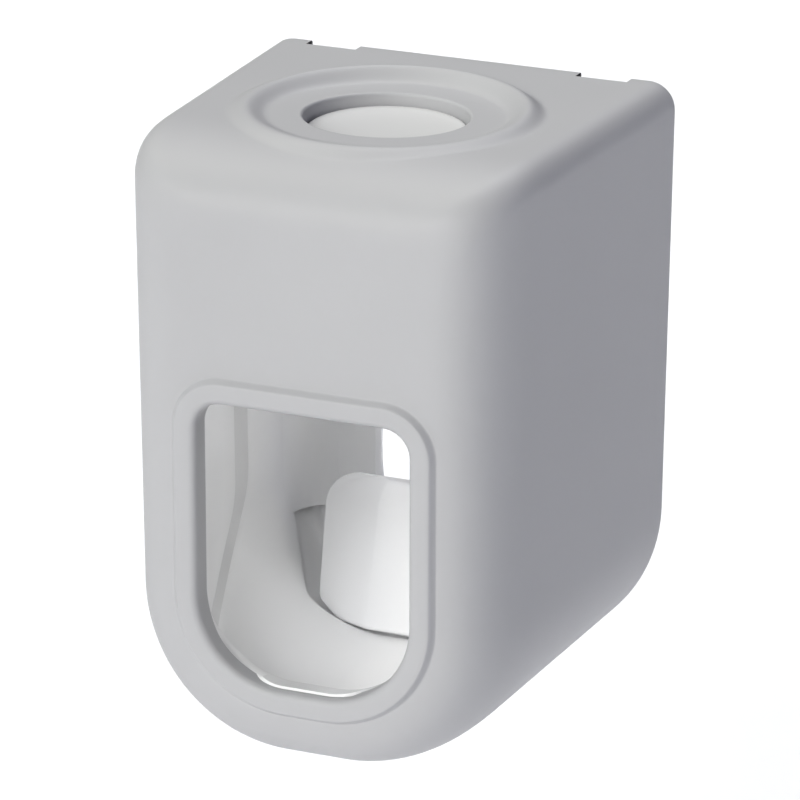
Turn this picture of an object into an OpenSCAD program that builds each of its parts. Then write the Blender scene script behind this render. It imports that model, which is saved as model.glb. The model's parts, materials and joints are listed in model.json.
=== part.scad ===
// Wall-hung toothpaste dispenser, sizes in millimetres.
// X runs to the right, Y into the wall, Z up. The origin is the centre of the adhesive pad's wall face.
// Depths (names starting with d_) are distances in front of the wall; heights start at the lowest point.

/* [Body] */
// Width of the body at its rear rim
body_w = 68; // [66:0.5:74]
// Depth of the body from rear rim to front face
body_d = 66.8; // [65:0.2:74]
// Height of the body at its rear rim
body_h = 95.8; // [95:0.1:102]
// Wall of the moulded outer shell
wall = 2.4; // [2:0.1:2.8]
// How much each side draws in towards the front
front_narrowing = 3.2; // [2:0.1:4]
// How much each side draws in towards the bottom
lower_narrowing = 1.2; // [0.6:0.1:1.8]
// How much the top rises towards the front
top_rise = 1.7; // [1:0.1:2.4]
// How much the underside rises towards the front
bottom_rise = 0.7; // [0.3:0.1:1.5]
// Radius of the upper long edges
top_corner_r = 4.3; // [3.8:0.1:6]
// Radius of the upper edges where they reach the front
front_corner_r = 6; // [5:0.1:8]
// Radius of the lower long edges
bottom_corner_r = 26.2; // [24:0.1:27]
// How far the front rounding reaches in from the sides
front_round_in = 11.6; // [10:0.1:12.5]
// How far the front rounding reaches back
front_round_deep = 20.9; // [18:0.1:22]
// Fullness of the front rounding, 2 is an ellipse
front_round_power = 2.64; // [2.2:0.02:3]
// Gap between the rear rim and the wall, also the adhesive's thickness
rim_gap = 1; // [0.8:0.1:1.5]

/* [Front window] */
// Half width of the window
window_half_w = 17.15; // [16:0.05:18]
// Height of the window's sill
window_sill = 15.4; // [14.8:0.1:17]
// Distance of the window's head below the rear rim's top
window_drop = 36.3; // [36.1:0.1:38]
// Radius of the window's upper corners
window_upper_r = 4.2; // [3:0.1:6]
// Radius of the window's lower corners
window_lower_r = 14.5; // [12:0.1:15.5]
// Width of the raised bead round the window
bead_w = 3.5; // [3:0.1:4]
// Height of the raised bead round the window
bead_h = 1.15; // [0.8:0.05:1.5]

/* [Top ring] */
// Distance of the tube hole's centre from the wall
hole_depth = 34.75; // [34:0.05:36]
// Radius of the hole in the top
hole_r = 12.6; // [12.5:0.1:13]
// Radius of the raised ring's crest
ring_crest_r = 21.2; // [20:0.1:22]
// Height of the ring's crest over the rear rim
ring_crest_h = 2; // [1.8:0.1:2.6]
// Width of the ring's rounded bead
ring_bead_w = 4.4; // [4:0.1:5]
// Radius of the rounded edge of the hole
hole_edge_r = 1.4; // [1:0.1:1.8]

/* [Drip liner] */
// Wall of the white liner
liner_wall = 2; // [1.6:0.1:2.2]
// Distance of the liner's upper edge below the rear rim's top, where the deck lies
liner_drop = 35.8; // [35.5:0.1:35.9]
// Distance of the rear panel's upper edge below the rear rim's top
panel_drop = 45.8; // [45.8:0.1:46.8]
// Half width of the opening in the rear panel
rear_open_half_w = 14.4; // [13:0.1:15]
// Height of the opening in the rear panel
rear_open_h = 21.8; // [19:0.1:22]
// Distance of the opening's head below the rear panel's upper edge
rear_open_drop = 4; // [3.5:0.1:6]
// Corner radius of the opening in the rear panel
rear_open_r = 3; // [2:0.1:4]
// How far the liner's front edge stands back from the window's sides, out of sight
liner_front_back = 1.2; // [1:0.1:2]
// Thickness of the rear panel
rear_panel_t = 2.1; // [1.9:0.1:2.4]
// Depth of the well round the push pad
pocket_depth = 1.1; // [0.8:0.1:1.2]
// Top of the well round the push pad
pocket_top = 19; // [17:0.1:21]
// Distance from the wall to the front of the well on the floor
well_front = 22; // [20:0.1:24]
// Distance from the wall to the front of the well on the cheeks
well_rear = 8.4; // [7:0.1:10]
// Half width of the well's front
well_x0 = 18.6; // [17:0.1:20]
// Half width at which the well reaches the cheeks
well_x1 = 27.2; // [26:0.1:28]
// Radius of the upright inner corners at the rear
rear_fillet = 7; // [5:0.1:8]
// Height of the step on the inside of each cheek
cheek_step = 0.9; // [0.6:0.05:1.2]
// Distance of the step from the wall, high on the cheek
step_upper_depth = 29.4; // [28:0.1:31]
// Distance of the step from the wall, low on the cheek
step_lower_depth = 39.2; // [37:0.1:41]
// Height at which the step starts to draw back
step_z0 = 9; // [7:1:12]
// Height at which the step stands upright again
step_z1 = 33; // [30:1:36]

/* [Push lever] */
// Distance of the pivot below the rear rim's top
pivot_drop = 35.8; // [35.4:0.1:36.2]
// Distance of the pivot from the wall
pivot_depth = 10.4; // [10.2:0.1:11]
// Length of the arm over the pivot
arm_len = 14; // [13:0.1:14.5]
// Travel of the lever in degrees
lever_travel = 8; // [6:0.5:8.5]
// Radius of the pivot pin
pin_r = 1.5; // [1.2:0.05:1.8]
// Radius of the hub
hub_r = 4.4; // [4:0.1:4.5]
// Width of the hub
hub_w = 12.2; // [11:0.1:12.6]
// Radius of the nose that pushes the piston
nose_r = 3; // [2.6:0.1:3.2]
// Width of the upper arm
arm_w = 8; // [7:0.1:9]
// Width of the stem
stem_w = 11; // [9:0.1:12]
// Thickness of the stem
stem_t = 3; // [2.6:0.1:3.2]
// Height of the pad's lower edge
pad_z0 = 5.4; // [5.3:0.1:6]
// Height of the pad's upper edge
pad_z1 = 27.7; // [27:0.1:29]
// Width of the pad at its lower edge
pad_w = 36.8; // [35:0.1:38]
// Radius of the pad's upper corners
pad_corner_r = 5.5; // [4.5:0.1:7]
// Gap between the pad's lower corners and the well
pad_gap = 1.1; // [1:0.1:1.5]
// Half width of the pad's flat front
pad_flat = 9.5; // [8.5:0.1:10]
// Depth of the pad from rim to front
pad_depth = 5; // [4.8:0.1:5.4]
// Distance of the pad's front from the wall, where the upper rounding starts
pad_front = 15.4; // [15:0.1:15.8]
// How much further forward the pad's foot stands
pad_lean = 5.4; // [4.5:0.1:5.6]
// How far the pad's sides fall back from its front, at the upper edge
pad_side_fall = 4.5; // [3.5:0.1:4.6]
// How far the pad's sides fall back from its front, at the foot
pad_foot_fall = 1.2; // [0.8:0.1:2]
// Wall of the pad round its hollow back
pad_wall = 1.8; // [1.5:0.1:2.2]
// How much each side of the pad spreads towards the top
pad_spread = 2; // [1.5:0.1:2.4]
// Height of the rounding along the pad's upper edge
pad_brow = 3; // [2.5:0.1:4]
// Height of the rounding along the pad's lower edge
pad_foot = 1.5; // [1:0.1:2]

/* [Pump] */
// Radius of the pump's chamber
chamber_r = 7.5; // [7.3:0.05:7.7]
// Wall of the pump body
pump_wall = 2; // [1.8:0.1:2.1]
// Distance of the chamber's rear end from the wall
chamber_rear = 24; // [23.8:0.1:24.1]
// Length of the chamber
chamber_len = 20; // [19.8:0.1:21]
// Thickness of the chamber's front end
chamber_end_t = 2.2; // [2:0.1:2.6]
// Thickness of the gland cap
cap_t = 1.7; // [1.5:0.1:1.8]
// Length of the gland cap's spigot
cap_spigot = 1.2; // [1:0.1:1.4]
// Radius of the piston rod
rod_r = 2.5; // [2.2:0.05:2.8]
// Radius of the rod's head
rod_head_r = 6; // [5.5:0.1:6.5]
// Thickness of the rod's head
rod_head_t = 2; // [1.6:0.1:2.2]
// Thickness of the piston
piston_t = 4.7; // [4.5:0.1:4.9]
// Depth of the seal groove in the piston
groove_deep = 1.55; // [1.2:0.05:1.8]
// Width of the seal groove in the piston
groove_w = 2.4; // [2:0.1:2.6]
// Radius of the inlet and outlet ports
port_r = 2.4; // [2:0.1:2.4]
// Distance of the outlet from the wall
outlet_depth = 41; // [40.8:0.1:41.2]
// Thickness of the pump's feet
foot_t = 2.5; // [2:0.1:3]
// Length of the pump's feet
foot_len = 16; // [15:0.1:17]
// Outer half width over the pump's feet
foot_half_w = 18; // [17.5:0.1:19]

/* [Return spring] */
// Wire diameter
wire_d = 0.7; // [0.6:0.05:0.75]
// Mean radius of the coils
coil_r = 4.3; // [4:0.1:4.6]
// Number of coils
coils = 4.5; // [4:0.5:4.5]

/* [Tube socket] */
// Radius of the bore that takes the tube's neck
neck_r = 5.5; // [5:0.1:6]
// Radius of the soft sleeve
sleeve_r = 9; // [8.6:0.1:9.2]
// Length of the soft sleeve under its flange
sleeve_len = 5; // [4.6:0.1:5.2]
// Thickness of the sleeve's flange
sleeve_flange_t = 0.7; // [0.6:0.1:0.9]
// Distance of the socket's floor below the rear rim's top
socket_drop = 11.6; // [11.4:0.1:11.7]
// Outer radius of the socket
socket_r = 10.6; // [10.4:0.1:10.6]
// Radius of the sleeve's flange
sleeve_flange_r = 10.2; // [9.8:0.1:10.4]
// Outer radius of the socket's rim
socket_rim_r = 15; // [14.8:0.1:16]
// Thickness of the inlet flap
flap_t = 0.8; // [0.6:0.1:0.9]
// Width of the gasket under the top
gasket_w = 2; // [1.6:0.1:2]

/* [Nozzle] */
// How far the nozzle reaches down below the deck
nozzle_reach = 10; // [8:0.1:10.4]
// Outer radius of the nozzle's body
nozzle_r = 6.8; // [6.5:0.1:7]
// Outer radius of the nozzle's tip
nozzle_tip_r = 3.8; // [3.4:0.1:4.2]
// Outer radius of the nozzle's flange
nozzle_flange_r = 8.6; // [8.2:0.1:8.6]
// Thickness of the nozzle's flange
nozzle_flange_t = 1.6; // [1.2:0.1:1.7]
// Outer radius of the spout under the chamber
spout_r = 4.6; // [4.4:0.1:4.8]
// How far the spout reaches down below the deck
spout_reach = 1.4; // [1:0.1:2]
// Thickness of the outlet valve's rim
valve_t = 1.2; // [1:0.1:1.4]

/* [Dust plug] */
// Radius of the plug's disc
plug_r = 12.2; // [12:0.1:12.2]
// Thickness of the plug's disc
plug_t = 1.7; // [1.5:0.1:2]
// Depth of the shallow dish in the disc
plug_dish = 0.5; // [0.3:0.05:0.6]
// How far the plug's skirt reaches down round the sleeve's flange
plug_skirt = 0.7; // [0.5:0.1:0.7]

/* [Inner frame] */
// Thickness of the deck
deck_t = 2.5; // [2.2:0.1:2.6]
// Distance of the deck's front edge from the wall
deck_front = 52; // [50:0.1:54]
// Thickness of the panel that hangs on the hooks
hang_panel_t = 2.2; // [2:0.1:2.4]
// Height of the side rails on the deck
rail_h = 7; // [5:0.1:9]
// Thickness of the pivot ears
ear_t = 2.8; // [2.4:0.1:3]
// Distance of the tabs in the rear top edge from the body's side
tab_side = 7.5; // [7.2:0.1:8.5]
// Width of the tabs in the rear top edge
tab_w = 7.8; // [7:0.1:8.5]
// How far the tabs lie under the top
tab_sink = 0.7; // [0.4:0.1:1.2]

/* [Wall plate] */
// Width of the wall plate
plate_w = 40; // [36:0.1:41]
// Height of the wall plate
plate_h = 28; // [26:0.1:28]
// Distance of the wall plate's lower edge below the rear rim's top
plate_drop = 37.3; // [36.8:0.1:37.3]
// Thickness of the wall plate
plate_t = 2.4; // [2:0.1:2.6]
// Corner radius of the wall plate
plate_r = 4; // [3:0.1:5]
// Margin of the adhesive pad inside the plate's edge
pad_margin = 2; // [1:0.1:3]
// Distance of each hook from the centre
hook_x = 13; // [12.8:0.1:14]
// Width of each hook
hook_w = 5.4; // [5:0.1:5.6]
// Height of each hook's shank
hook_h = 3; // [2.6:0.1:3.2]
// Thickness of each hook's lip
hook_lip_t = 2; // [1.6:0.1:2.2]
// How far each hook's lip stands up
hook_lip_h = 4; // [3:0.1:4.2]
// Height of the hook's seat over the wall plate's lower edge
hook_rise = 15.5; // [15.3:0.1:16]
// How far the dispenser lifts before it comes off
lift = 8; // [7:0.1:8]
// Room round the wall plate in the frame's pocket
plate_room = 1; // [0.6:0.1:1.2]

/* [Fasteners] */
// Radius of the screws' shanks
screw_r = 1.2; // [1:0.05:1.3]
// Radius of the screws' heads
screw_head_r = 2.5; // [2.2:0.1:2.7]
// Height of the screws' heads
screw_head_h = 1.6; // [1.4:0.1:1.8]
// Radius of the screw bosses
boss_r = 3.2; // [3:0.1:3.4]
// Thickness of the clips on the pivot pin
clip_t = 0.6; // [0.5:0.05:0.8]
// Outer radius of the clips on the pivot pin
clip_r = 2.9; // [2.5:0.1:3]
// Length of the screws that hold the liner
liner_screw_len = 10; // [8:0.5:11]
// Length of the screws that hold the shell
shell_screw_len = 8; // [6:0.5:9]
// How much deeper a screw's hole is than the screw
hole_spare = 0.5; // [0.3:0.1:1]
// Width of the slots in the screws' heads
slot_w = 0.6; // [0.5:0.1:0.8]
// Distance of the liner's screws from the wall
liner_screw_depth = 20; // [18:0.5:22]
// Distance of the liner's screws from the widest point of the side
liner_screw_in = 8.6; // [8.4:0.1:9]
// Distance of the shell's screws under the top wall
shell_screw_drop = 6; // [5.8:0.1:7]
// Distance between the screws in each foot of the pump
foot_screw_gap = 10; // [9:0.5:11]
// Thickness of the ribs that carry the bosses
rib_t = 1.6; // [1.2:0.1:1.8]

/* [Fits] */
// Gap between pieces that lie beside each other
gap = 0.3; // [0.3:0.02:0.4]
// Radial clearance of running fits
run_fit = 0.05; // [0.02:0.01:0.08]
// Radial clearance of pieces that are pushed together
push_fit = 0.02; // [0.01:0.01:0.05]

/* [Hidden] */
$fn = 64;

// A large margin for cuts that run right through
past = 30;
// A small margin that lets joined solids share volume
bite = 0.2;
// Steps in the upper and lower corner arcs, in the front rounding and over each side of the pad
upper_steps = 6;
lower_steps = 12;
round_steps = 10;
side_steps = 7;
// Curve of the pad's sides, 1 is flat
pad_side_power = 1.25;

window_head = body_h - window_drop;
liner_top = body_h - liner_drop;
panel_top = body_h - panel_drop;
rear_open_head = panel_top - rear_open_drop;
rear_open_sill = rear_open_head - rear_open_h;
pivot_z = body_h - pivot_drop;
socket_floor = body_h - socket_drop;
nozzle_tip = liner_top - nozzle_reach;
spout_z = liner_top - spout_reach;
plate_z0 = body_h - plate_drop;
plate_mid = plate_z0 + plate_h / 2;
hook_z = plate_z0 + hook_rise;
tab_x0 = body_w / 2 - tab_side - tab_w;
d_front = rim_gap + body_d;
liner_out = wall + gap;
liner_in = liner_out + liner_wall;
well_skin = liner_in - pocket_depth;
d_panel = rim_gap + gap + rear_panel_t;
d_pocket = d_panel - pocket_depth;
deck_top = liner_top + deck_t;
pump_z = pivot_z + arm_len;
pump_r = chamber_r + pump_wall;
d_chamber_front = chamber_rear + chamber_len;
d_cap = chamber_rear - cap_t;
d_head = pivot_depth + nose_r + gap;
d_piston = chamber_rear + cap_spigot + gap;
d_hang = rim_gap + plate_t + gap;
d_hang_front = d_hang + hang_panel_t;
shelf_z = body_h;
shelf_under = shelf_z - wall;
sleeve_z = socket_floor + flap_t;
sleeve_top = sleeve_z + sleeve_len;
plug_z = sleeve_top + sleeve_flange_t + gap;
gasket_z = plug_z + 0.5;
valve_z = spout_z - valve_t;
ear_x = hub_w / 2 + gap;
clip_room = 2 * gap + 2 * clip_t;
liner_boss_x = body_w / 2 - liner_screw_in;
shell_boss_x = tab_x0 + tab_w;
shell_boss_z = shelf_under - shell_screw_drop;
d_shell_boss = d_hang + shell_screw_len + 2 * hole_spare;
foot_screw_x = (nozzle_flange_r + gap + pump_wall + foot_half_w) / 2;
foot_screw_depths = [outlet_depth - foot_screw_gap, outlet_depth];

// Side and upright solids, given by depth and height
module along_depth(d0, d1) {
    translate([0, -d0, 0])
        rotate([90, 0, 0])
            linear_extrude(d1 - d0)
                children();
}

module across(half_w) {
    translate([-half_w, 0, 0])
        rotate([90, 0, 90])
            linear_extrude(2 * half_w)
                children();
}

module rod_y(r, d0, d1, z, x = 0) {
    translate([x, -d0, z])
        rotate([90, 0, 0])
            cylinder(r = r, h = d1 - d0);
}

module post(r, z0, z1, d, x = 0) {
    translate([x, -d, z0])
        cylinder(r = r, h = z1 - z0);
}

module block(x0, x1, d0, d1, z0, z1) {
    translate([x0, -d1, z0])
        cube([x1 - x0, d1 - d0, z1 - z0]);
}

module both_sides() {
    children();
    mirror([1, 0, 0])
        children();
}

// Points of an arc, and of a panel with its own upper and lower corner radii
function arc(cx, cz, r, a0, a1, n) = [for (i = [0 : n]) let (a = a0 + (a1 - a0) * i / n)
    [cx + r * cos(a), cz + r * sin(a)]];

function panel(half_w, z0, z1, r_low, r_up, n_low = lower_steps, n_up = upper_steps) = concat(
    arc(half_w - r_up, z1 - r_up, r_up, 0, 90, n_up),
    arc(-half_w + r_up, z1 - r_up, r_up, 90, 180, n_up),
    arc(-half_w + r_low, z0 + r_low, r_low, 180, 270, n_low),
    arc(half_w - r_low, z0 + r_low, r_low, 270, 360, n_low));

// Closed solid through rings that each have as many points, first ring farthest from the viewer
module loft(rings) {
    n = len(rings[0]);
    m = len(rings);
    sides = [for (i = [0 : m - 2], j = [0 : n - 1])
        let (a = i * n + j, b = i * n + (j + 1) % n)
        each [[a, a + n, b + n], [a, b + n, b]]];
    rear = [[for (j = [0 : n - 1]) j]];
    front = [[for (j = [n - 1 : -1 : 0]) (m - 1) * n + j]];
    polyhedron(points = [for (r = rings) each r], faces = concat(rear, sides, front), convexity = 8);
}

// Closed tube through rings that loop back to the first
module loop_loft(rings) {
    n = len(rings[0]);
    m = len(rings);
    faces = [for (i = [0 : m - 1], j = [0 : n - 1])
        let (k = (i + 1) % m, a = i * n + j, b = i * n + (j + 1) % n, c = k * n + j, d = k * n + (j + 1) % n)
        each [[a, c, d], [a, d, b]]];
    polyhedron(points = [for (r = rings) each r], faces = faces, convexity = 8);
}

// One cross-section of the body: depth, skin under the surface, extra rounding and its share from 0 to 1
function section(d, skin, extra, share) =
    let (
        f = (d - rim_gap) / body_d,
        inset = skin + extra,
        half_w = body_w / 2 - front_narrowing * f - inset,
        z0 = bottom_rise * f + inset,
        z1 = body_h + top_rise * f - inset,
        r_up = max(1, top_corner_r - skin + (front_corner_r - top_corner_r) * share),
        r_low = max(4, bottom_corner_r - inset))
    [for (p = panel(half_w, z0, z1, r_low, r_up))
        [p[0] * (1 - 2 * lower_narrowing / body_w * (1 - p[1] / body_h)), -d, p[1]]];

// The front rounding of a surface that lies a given skin under the outside
function front_rings(skin) = [for (i = [0 : round_steps])
    let (
        t = 90 * i / round_steps,
        turn = 1 - pow(cos(t), 2 / front_round_power),
        back = 1 - pow(sin(t), 2 / front_round_power))
    section(d_front - skin - back * (front_round_deep - skin), skin, turn * (front_round_in - skin), turn)];

// Solid that fills the body up to a given skin, from a given depth to the front
module fill(skin, d0) {
    loft(concat([section(d0, skin, 0, 0)], front_rings(skin)));
}

function window_points(grow) = panel(window_half_w + grow, window_sill - grow, window_head + grow,
    window_lower_r + grow, window_upper_r + grow);

// Raised bead round the window, as rings from its outer flank over its crest to the window's edge
module window_bead() {
    steps = 7;
    crest = [for (i = [0 : steps]) let (t = 180 * i / steps)
        [bead_w / 2 + bead_w / 2 * cos(t), bead_h * pow(sin(t), 0.7)]];
    rings = concat(crest, [[0, -wall / 2], [bead_w, -wall / 2]]);
    loop_loft([for (c = rings) [for (p = window_points(c[0])) [p[0], -(d_front + c[1]), p[1]]]]);
}

// Ring, shelf and rounded hole edge on the top, turned about the hole's axis
module top_ring() {
    half_bead = ring_bead_w / 2;
    outer_foot = ring_crest_r + half_bead;
    inner_foot = ring_crest_r - half_bead;
    crest = [for (i = [0 : 8]) let (t = 180 * i / 8)
        [ring_crest_r + half_bead * cos(t),
         shelf_z + (t < 90 ? ring_crest_h * pow(sin(t), 0.9) : ring_crest_h * pow(sin(t), 1.2))]];
    edge = arc(hole_r + hole_edge_r, shelf_z - hole_edge_r, hole_edge_r, 90, 180, 5);
    translate([0, -hole_depth, 0])
        rotate_extrude($fn = 72)
            polygon(concat([[outer_foot, shelf_under], [outer_foot, shelf_z]], crest,
                [[inner_foot, shelf_z]], edge, [[hole_r, shelf_under]]));
}

module outer_shell() {
    color([0.74, 0.74, 0.78])
        difference() {
            union() {
                difference() {
                    fill(0, rim_gap);
                    fill(wall, rim_gap - past);
                    post(ring_crest_r, shelf_under, shelf_z + past, hole_depth);
                }
                intersection() {
                    top_ring();
                    block(-body_w, body_w, rim_gap, d_front, shelf_under, shelf_z + past);
                }
                window_bead();
                both_sides()
                    shell_boss();
            }
            along_depth(d_front - past, d_front + past)
                polygon(window_points(0));
            both_sides() {
                // Notch in the rear top edge
                block(tab_x0 - bite, tab_x0 + tab_w + bite, 0, d_hang - bite / 2,
                    shelf_z - 2 * wall, body_h + past);
                rod_y(screw_r, 0, d_hang + shell_screw_len, shell_boss_z, shell_boss_x);
            }
        }
}

// Screw boss with the ribs that tie it to the side wall and the top
module shell_boss() {
    rod_y(boss_r, d_hang, d_shell_boss, shell_boss_z, shell_boss_x);
    block(shell_boss_x, body_w / 2 - wall / 2, d_hang, d_shell_boss,
        shell_boss_z - rib_t / 2, shell_boss_z + rib_t / 2);
    block(shell_boss_x - rib_t / 2, shell_boss_x + rib_t / 2, d_hang, d_shell_boss,
        shell_boss_z, shelf_z - wall / 2);
}

// Distance from the wall of the step on the liner's cheeks, an S-curve that comes forward near the floor
function step_depth(z) =
    let (u = max(0, min(1, (z - step_z0) / (step_z1 - step_z0))), s = u * u * (3 - 2 * u))
    step_lower_depth + (step_upper_depth - step_lower_depth) * s;

module liner_room() {
    step_edge = [for (z = [step_z0 - 3 : 3 : step_z1 + 3]) [-step_depth(z), z]];
    // The rear part of the room, with rounded upright corners behind and the step on the cheeks before it
    rear = [for (i = [0 : 5]) let (t = 90 - 18 * i)
        section(d_panel + rear_fillet * (1 - sin(t)), liner_in, rear_fillet * (1 - cos(t)), 0)];
    intersection() {
        loft(concat(rear, front_rings(liner_in)));
        across(body_w)
            polygon(concat([[0, 0], [-d_front, 0], [-d_front, step_z0 - 3]], step_edge,
                [[-step_upper_depth, body_h], [0, body_h]]));
    }
    // The front part, a little narrower
    fill(liner_in + cheek_step, step_upper_depth - 1);
    // The well in which the push pad swings, sunk into floor, cheeks and rear panel
    intersection() {
        fill(well_skin, d_pocket);
        translate([0, 0, -bite])
            linear_extrude(pocket_top + bite)
                polygon([[-body_w, past], [-body_w, -well_rear], [-well_x1, -well_rear],
                    [-well_x0, -well_front], [well_x0, -well_front], [well_x1, -well_rear],
                    [body_w, -well_rear], [body_w, past]]);
    }
}

module drip_liner() {
    color("white")
        difference() {
            union() {
                difference() {
                    intersection() {
                        fill(liner_out, rim_gap + gap);
                        union() {
                            block(-body_w, body_w, 0, d_front, 0, panel_top);
                            block(-body_w, body_w, d_hang, d_front, 0, liner_top);
                        }
                    }
                    liner_room();
                }
                both_sides()
                    post(boss_r, rear_open_head, liner_top, liner_screw_depth, liner_boss_x);
            }
            along_depth(d_front - front_round_deep / 2, d_front + past)
                polygon(panel(window_half_w + liner_front_back, window_sill - gap, liner_top + past,
                    window_lower_r + liner_front_back, window_upper_r));
            along_depth(-past, d_panel + rear_fillet / 2)
                polygon(panel(rear_open_half_w, rear_open_sill, rear_open_head,
                    rear_open_r, rear_open_r, upper_steps, upper_steps));
            both_sides()
                post(screw_r, deck_top - liner_screw_len - hole_spare, liner_top + past,
                    liner_screw_depth, liner_boss_x);
        }
}

module frame_hull(d0, d1, z0, z1) {
    intersection() {
        fill(liner_out, rim_gap + gap);
        block(-body_w, body_w, d0, d1, z0, z1);
    }
}

module core_frame() {
    pocket_x = plate_w / 2 + plate_room;
    pocket_z = plate_z0 + plate_h + plate_room;
    rail_x = liner_boss_x - screw_head_r - gap;
    panel_z1 = shell_boss_z - boss_r - gap;
    rail_t = 2;
    tab_root = 2;
    lever_room = 1.5;
    color("whitesmoke")
        difference() {
            union() {
                // Rear flange, hanging panel and deck
                frame_hull(rim_gap + gap, d_hang, panel_top + gap, body_h);
                frame_hull(d_hang - bite, d_hang_front, liner_top, panel_z1);
                frame_hull(d_hang, deck_front, liner_top, deck_top);
                both_sides() {
                    // Tab that shows in the rear top edge
                    block(tab_x0, tab_x0 + tab_w, rim_gap + gap, d_hang - gap,
                        shelf_under - tab_root, body_h - tab_sink);
                    // Side rail on the deck
                    block(rail_x - rail_t, rail_x, d_hang, deck_front - front_round_deep / 2,
                        deck_top - bite, deck_top + rail_h);
                    pivot_ear();
                }
            }
            // Pocket for the wall plate, open below
            block(-pocket_x, pocket_x, -past, d_hang, 0, pocket_z);
            // Slot for the lever in the panel and the deck
            block(-ear_x, ear_x, -past, pivot_depth + hub_r + lever_room, 0, pivot_z + hub_r + lever_room);
            // Slots for the hooks
            both_sides()
                block(hook_x - hook_w / 2 - gap, hook_x + hook_w / 2 + gap, -past, d_hang_front + bite,
                    hook_z - hook_h - lift - gap, hook_z);
            rod_x(pin_r + push_fit, body_w / 4, pivot_depth, pivot_z);
            post(nozzle_r + gap, liner_top - past, deck_top + past, outlet_depth);
            both_sides() {
                // Room in the deck for the clips on the pivot pin
                block(ear_x + ear_t, ear_x + ear_t + clip_room, pivot_depth - clip_r - gap,
                    pivot_depth + clip_r + gap, pivot_z - hub_r, deck_top + past);
                for (d = foot_screw_depths)
                    post(screw_r, liner_top - past, deck_top + past, d, foot_screw_x);
                post(screw_r + push_fit, liner_top - past, deck_top + past, liner_screw_depth, liner_boss_x);
                rod_y(screw_r + push_fit, -past, d_hang + past, shell_boss_z, shell_boss_x);
                rod_y(screw_head_r + gap, -past, rim_gap + gap + screw_head_h, shell_boss_z, shell_boss_x);
            }
        }
}

module rod_x(r, half_w, d, z) {
    translate([-half_w, -d, z])
        rotate([0, 90, 0])
            cylinder(r = r, h = 2 * half_w);
}

// Ear that carries the pivot pin, its corners cut off
module pivot_ear() {
    reach = pivot_depth + hub_r;
    foot = pivot_z - hub_r;
    top = deck_top + 5;
    cut = 2;
    translate([ear_x, 0, 0])
        rotate([90, 0, 90])
            linear_extrude(ear_t)
                polygon([[-d_hang, foot], [-reach + cut, foot], [-reach, foot + cut],
                    [-reach, top - cut], [-reach + cut, top], [-d_hang, top]]);
}

// Height share from the pad's foot, 0, to the start of its upper rounding, 1
function pad_rise(z) = (z - pad_z0) / (pad_z1 - pad_brow - pad_z0);

// Front face of the pad at a height, as a distance from the wall
function pad_face(z) = pad_front + pad_lean * (1 - pad_rise(z));

// Half width of the well at a height, under the centre of its lower corner arcs
function well_half(z) =
    let (r = bottom_corner_r - well_skin, low = max(0, well_skin + r - z))
    body_w / 2 - front_narrowing / 2 - lower_narrowing - well_skin - r + sqrt(max(0, r * r - low * low));

// Half width of the pad at a height: round upper corners, lower ones that follow the well
function pad_half(z) =
    let (
        u = max(0, (z - pad_z1 + pad_corner_r) / pad_corner_r),
        straight = pad_w / 2 + pad_spread * min(1, pad_rise(z)))
    min(straight - pad_corner_r * (1 - sqrt(max(0, 1 - u * u))), well_half(z) - pad_gap);

// Share of the full depth that the pad keeps at a height, with a rounded top and foot
function pad_share(z) =
    let (
        up = max(0, (z - pad_z1 + pad_brow) / pad_brow),
        low = max(0, (pad_z0 + pad_foot - z) / pad_foot))
    1 - 0.8 * (1 - sqrt(max(0, 1 - up * up))) - 0.25 * (1 - sqrt(max(0, 1 - low * low)));

// One level outline of the pad, drawn in by a margin
function pad_ring(z, margin) =
    let (
        half_w = pad_half(z) - margin,
        front = pad_face(z),
        rear = front - pad_depth,
        depth = max(0.8, pad_depth * pad_share(z)) - margin,
        fall = pad_foot_fall + (pad_side_fall - pad_foot_fall) * min(1, pad_rise(z)))
    concat(
        [[half_w, -(rear - (margin > 0 ? past : 0)), z], [-half_w, -(rear - (margin > 0 ? past : 0)), z]],
        [for (i = [-side_steps : side_steps])
            let (
                off = max(0, (abs(i) - 1) / (side_steps - 1)),
                x = sign(i) * (pad_flat + (half_w - pad_flat) * off))
            [x, -(rear + max(0.5, depth - fall * pow(off, pad_side_power))), z]]);

module pad_solid(margin) {
    low = pad_z0 + margin;
    high = pad_z1 - margin;
    levels = concat([for (i = [0 : 4]) low + pad_foot * (1 - cos(22.5 * i))],
        [for (z = [low + 4 : 3.5 : high - pad_corner_r + 1]) z],
        [for (i = [0 : 7]) high - pad_corner_r * (1 - sin(90 * i / 7.2))]);
    loft([for (z = levels) pad_ring(z, margin)]);
}

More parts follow.
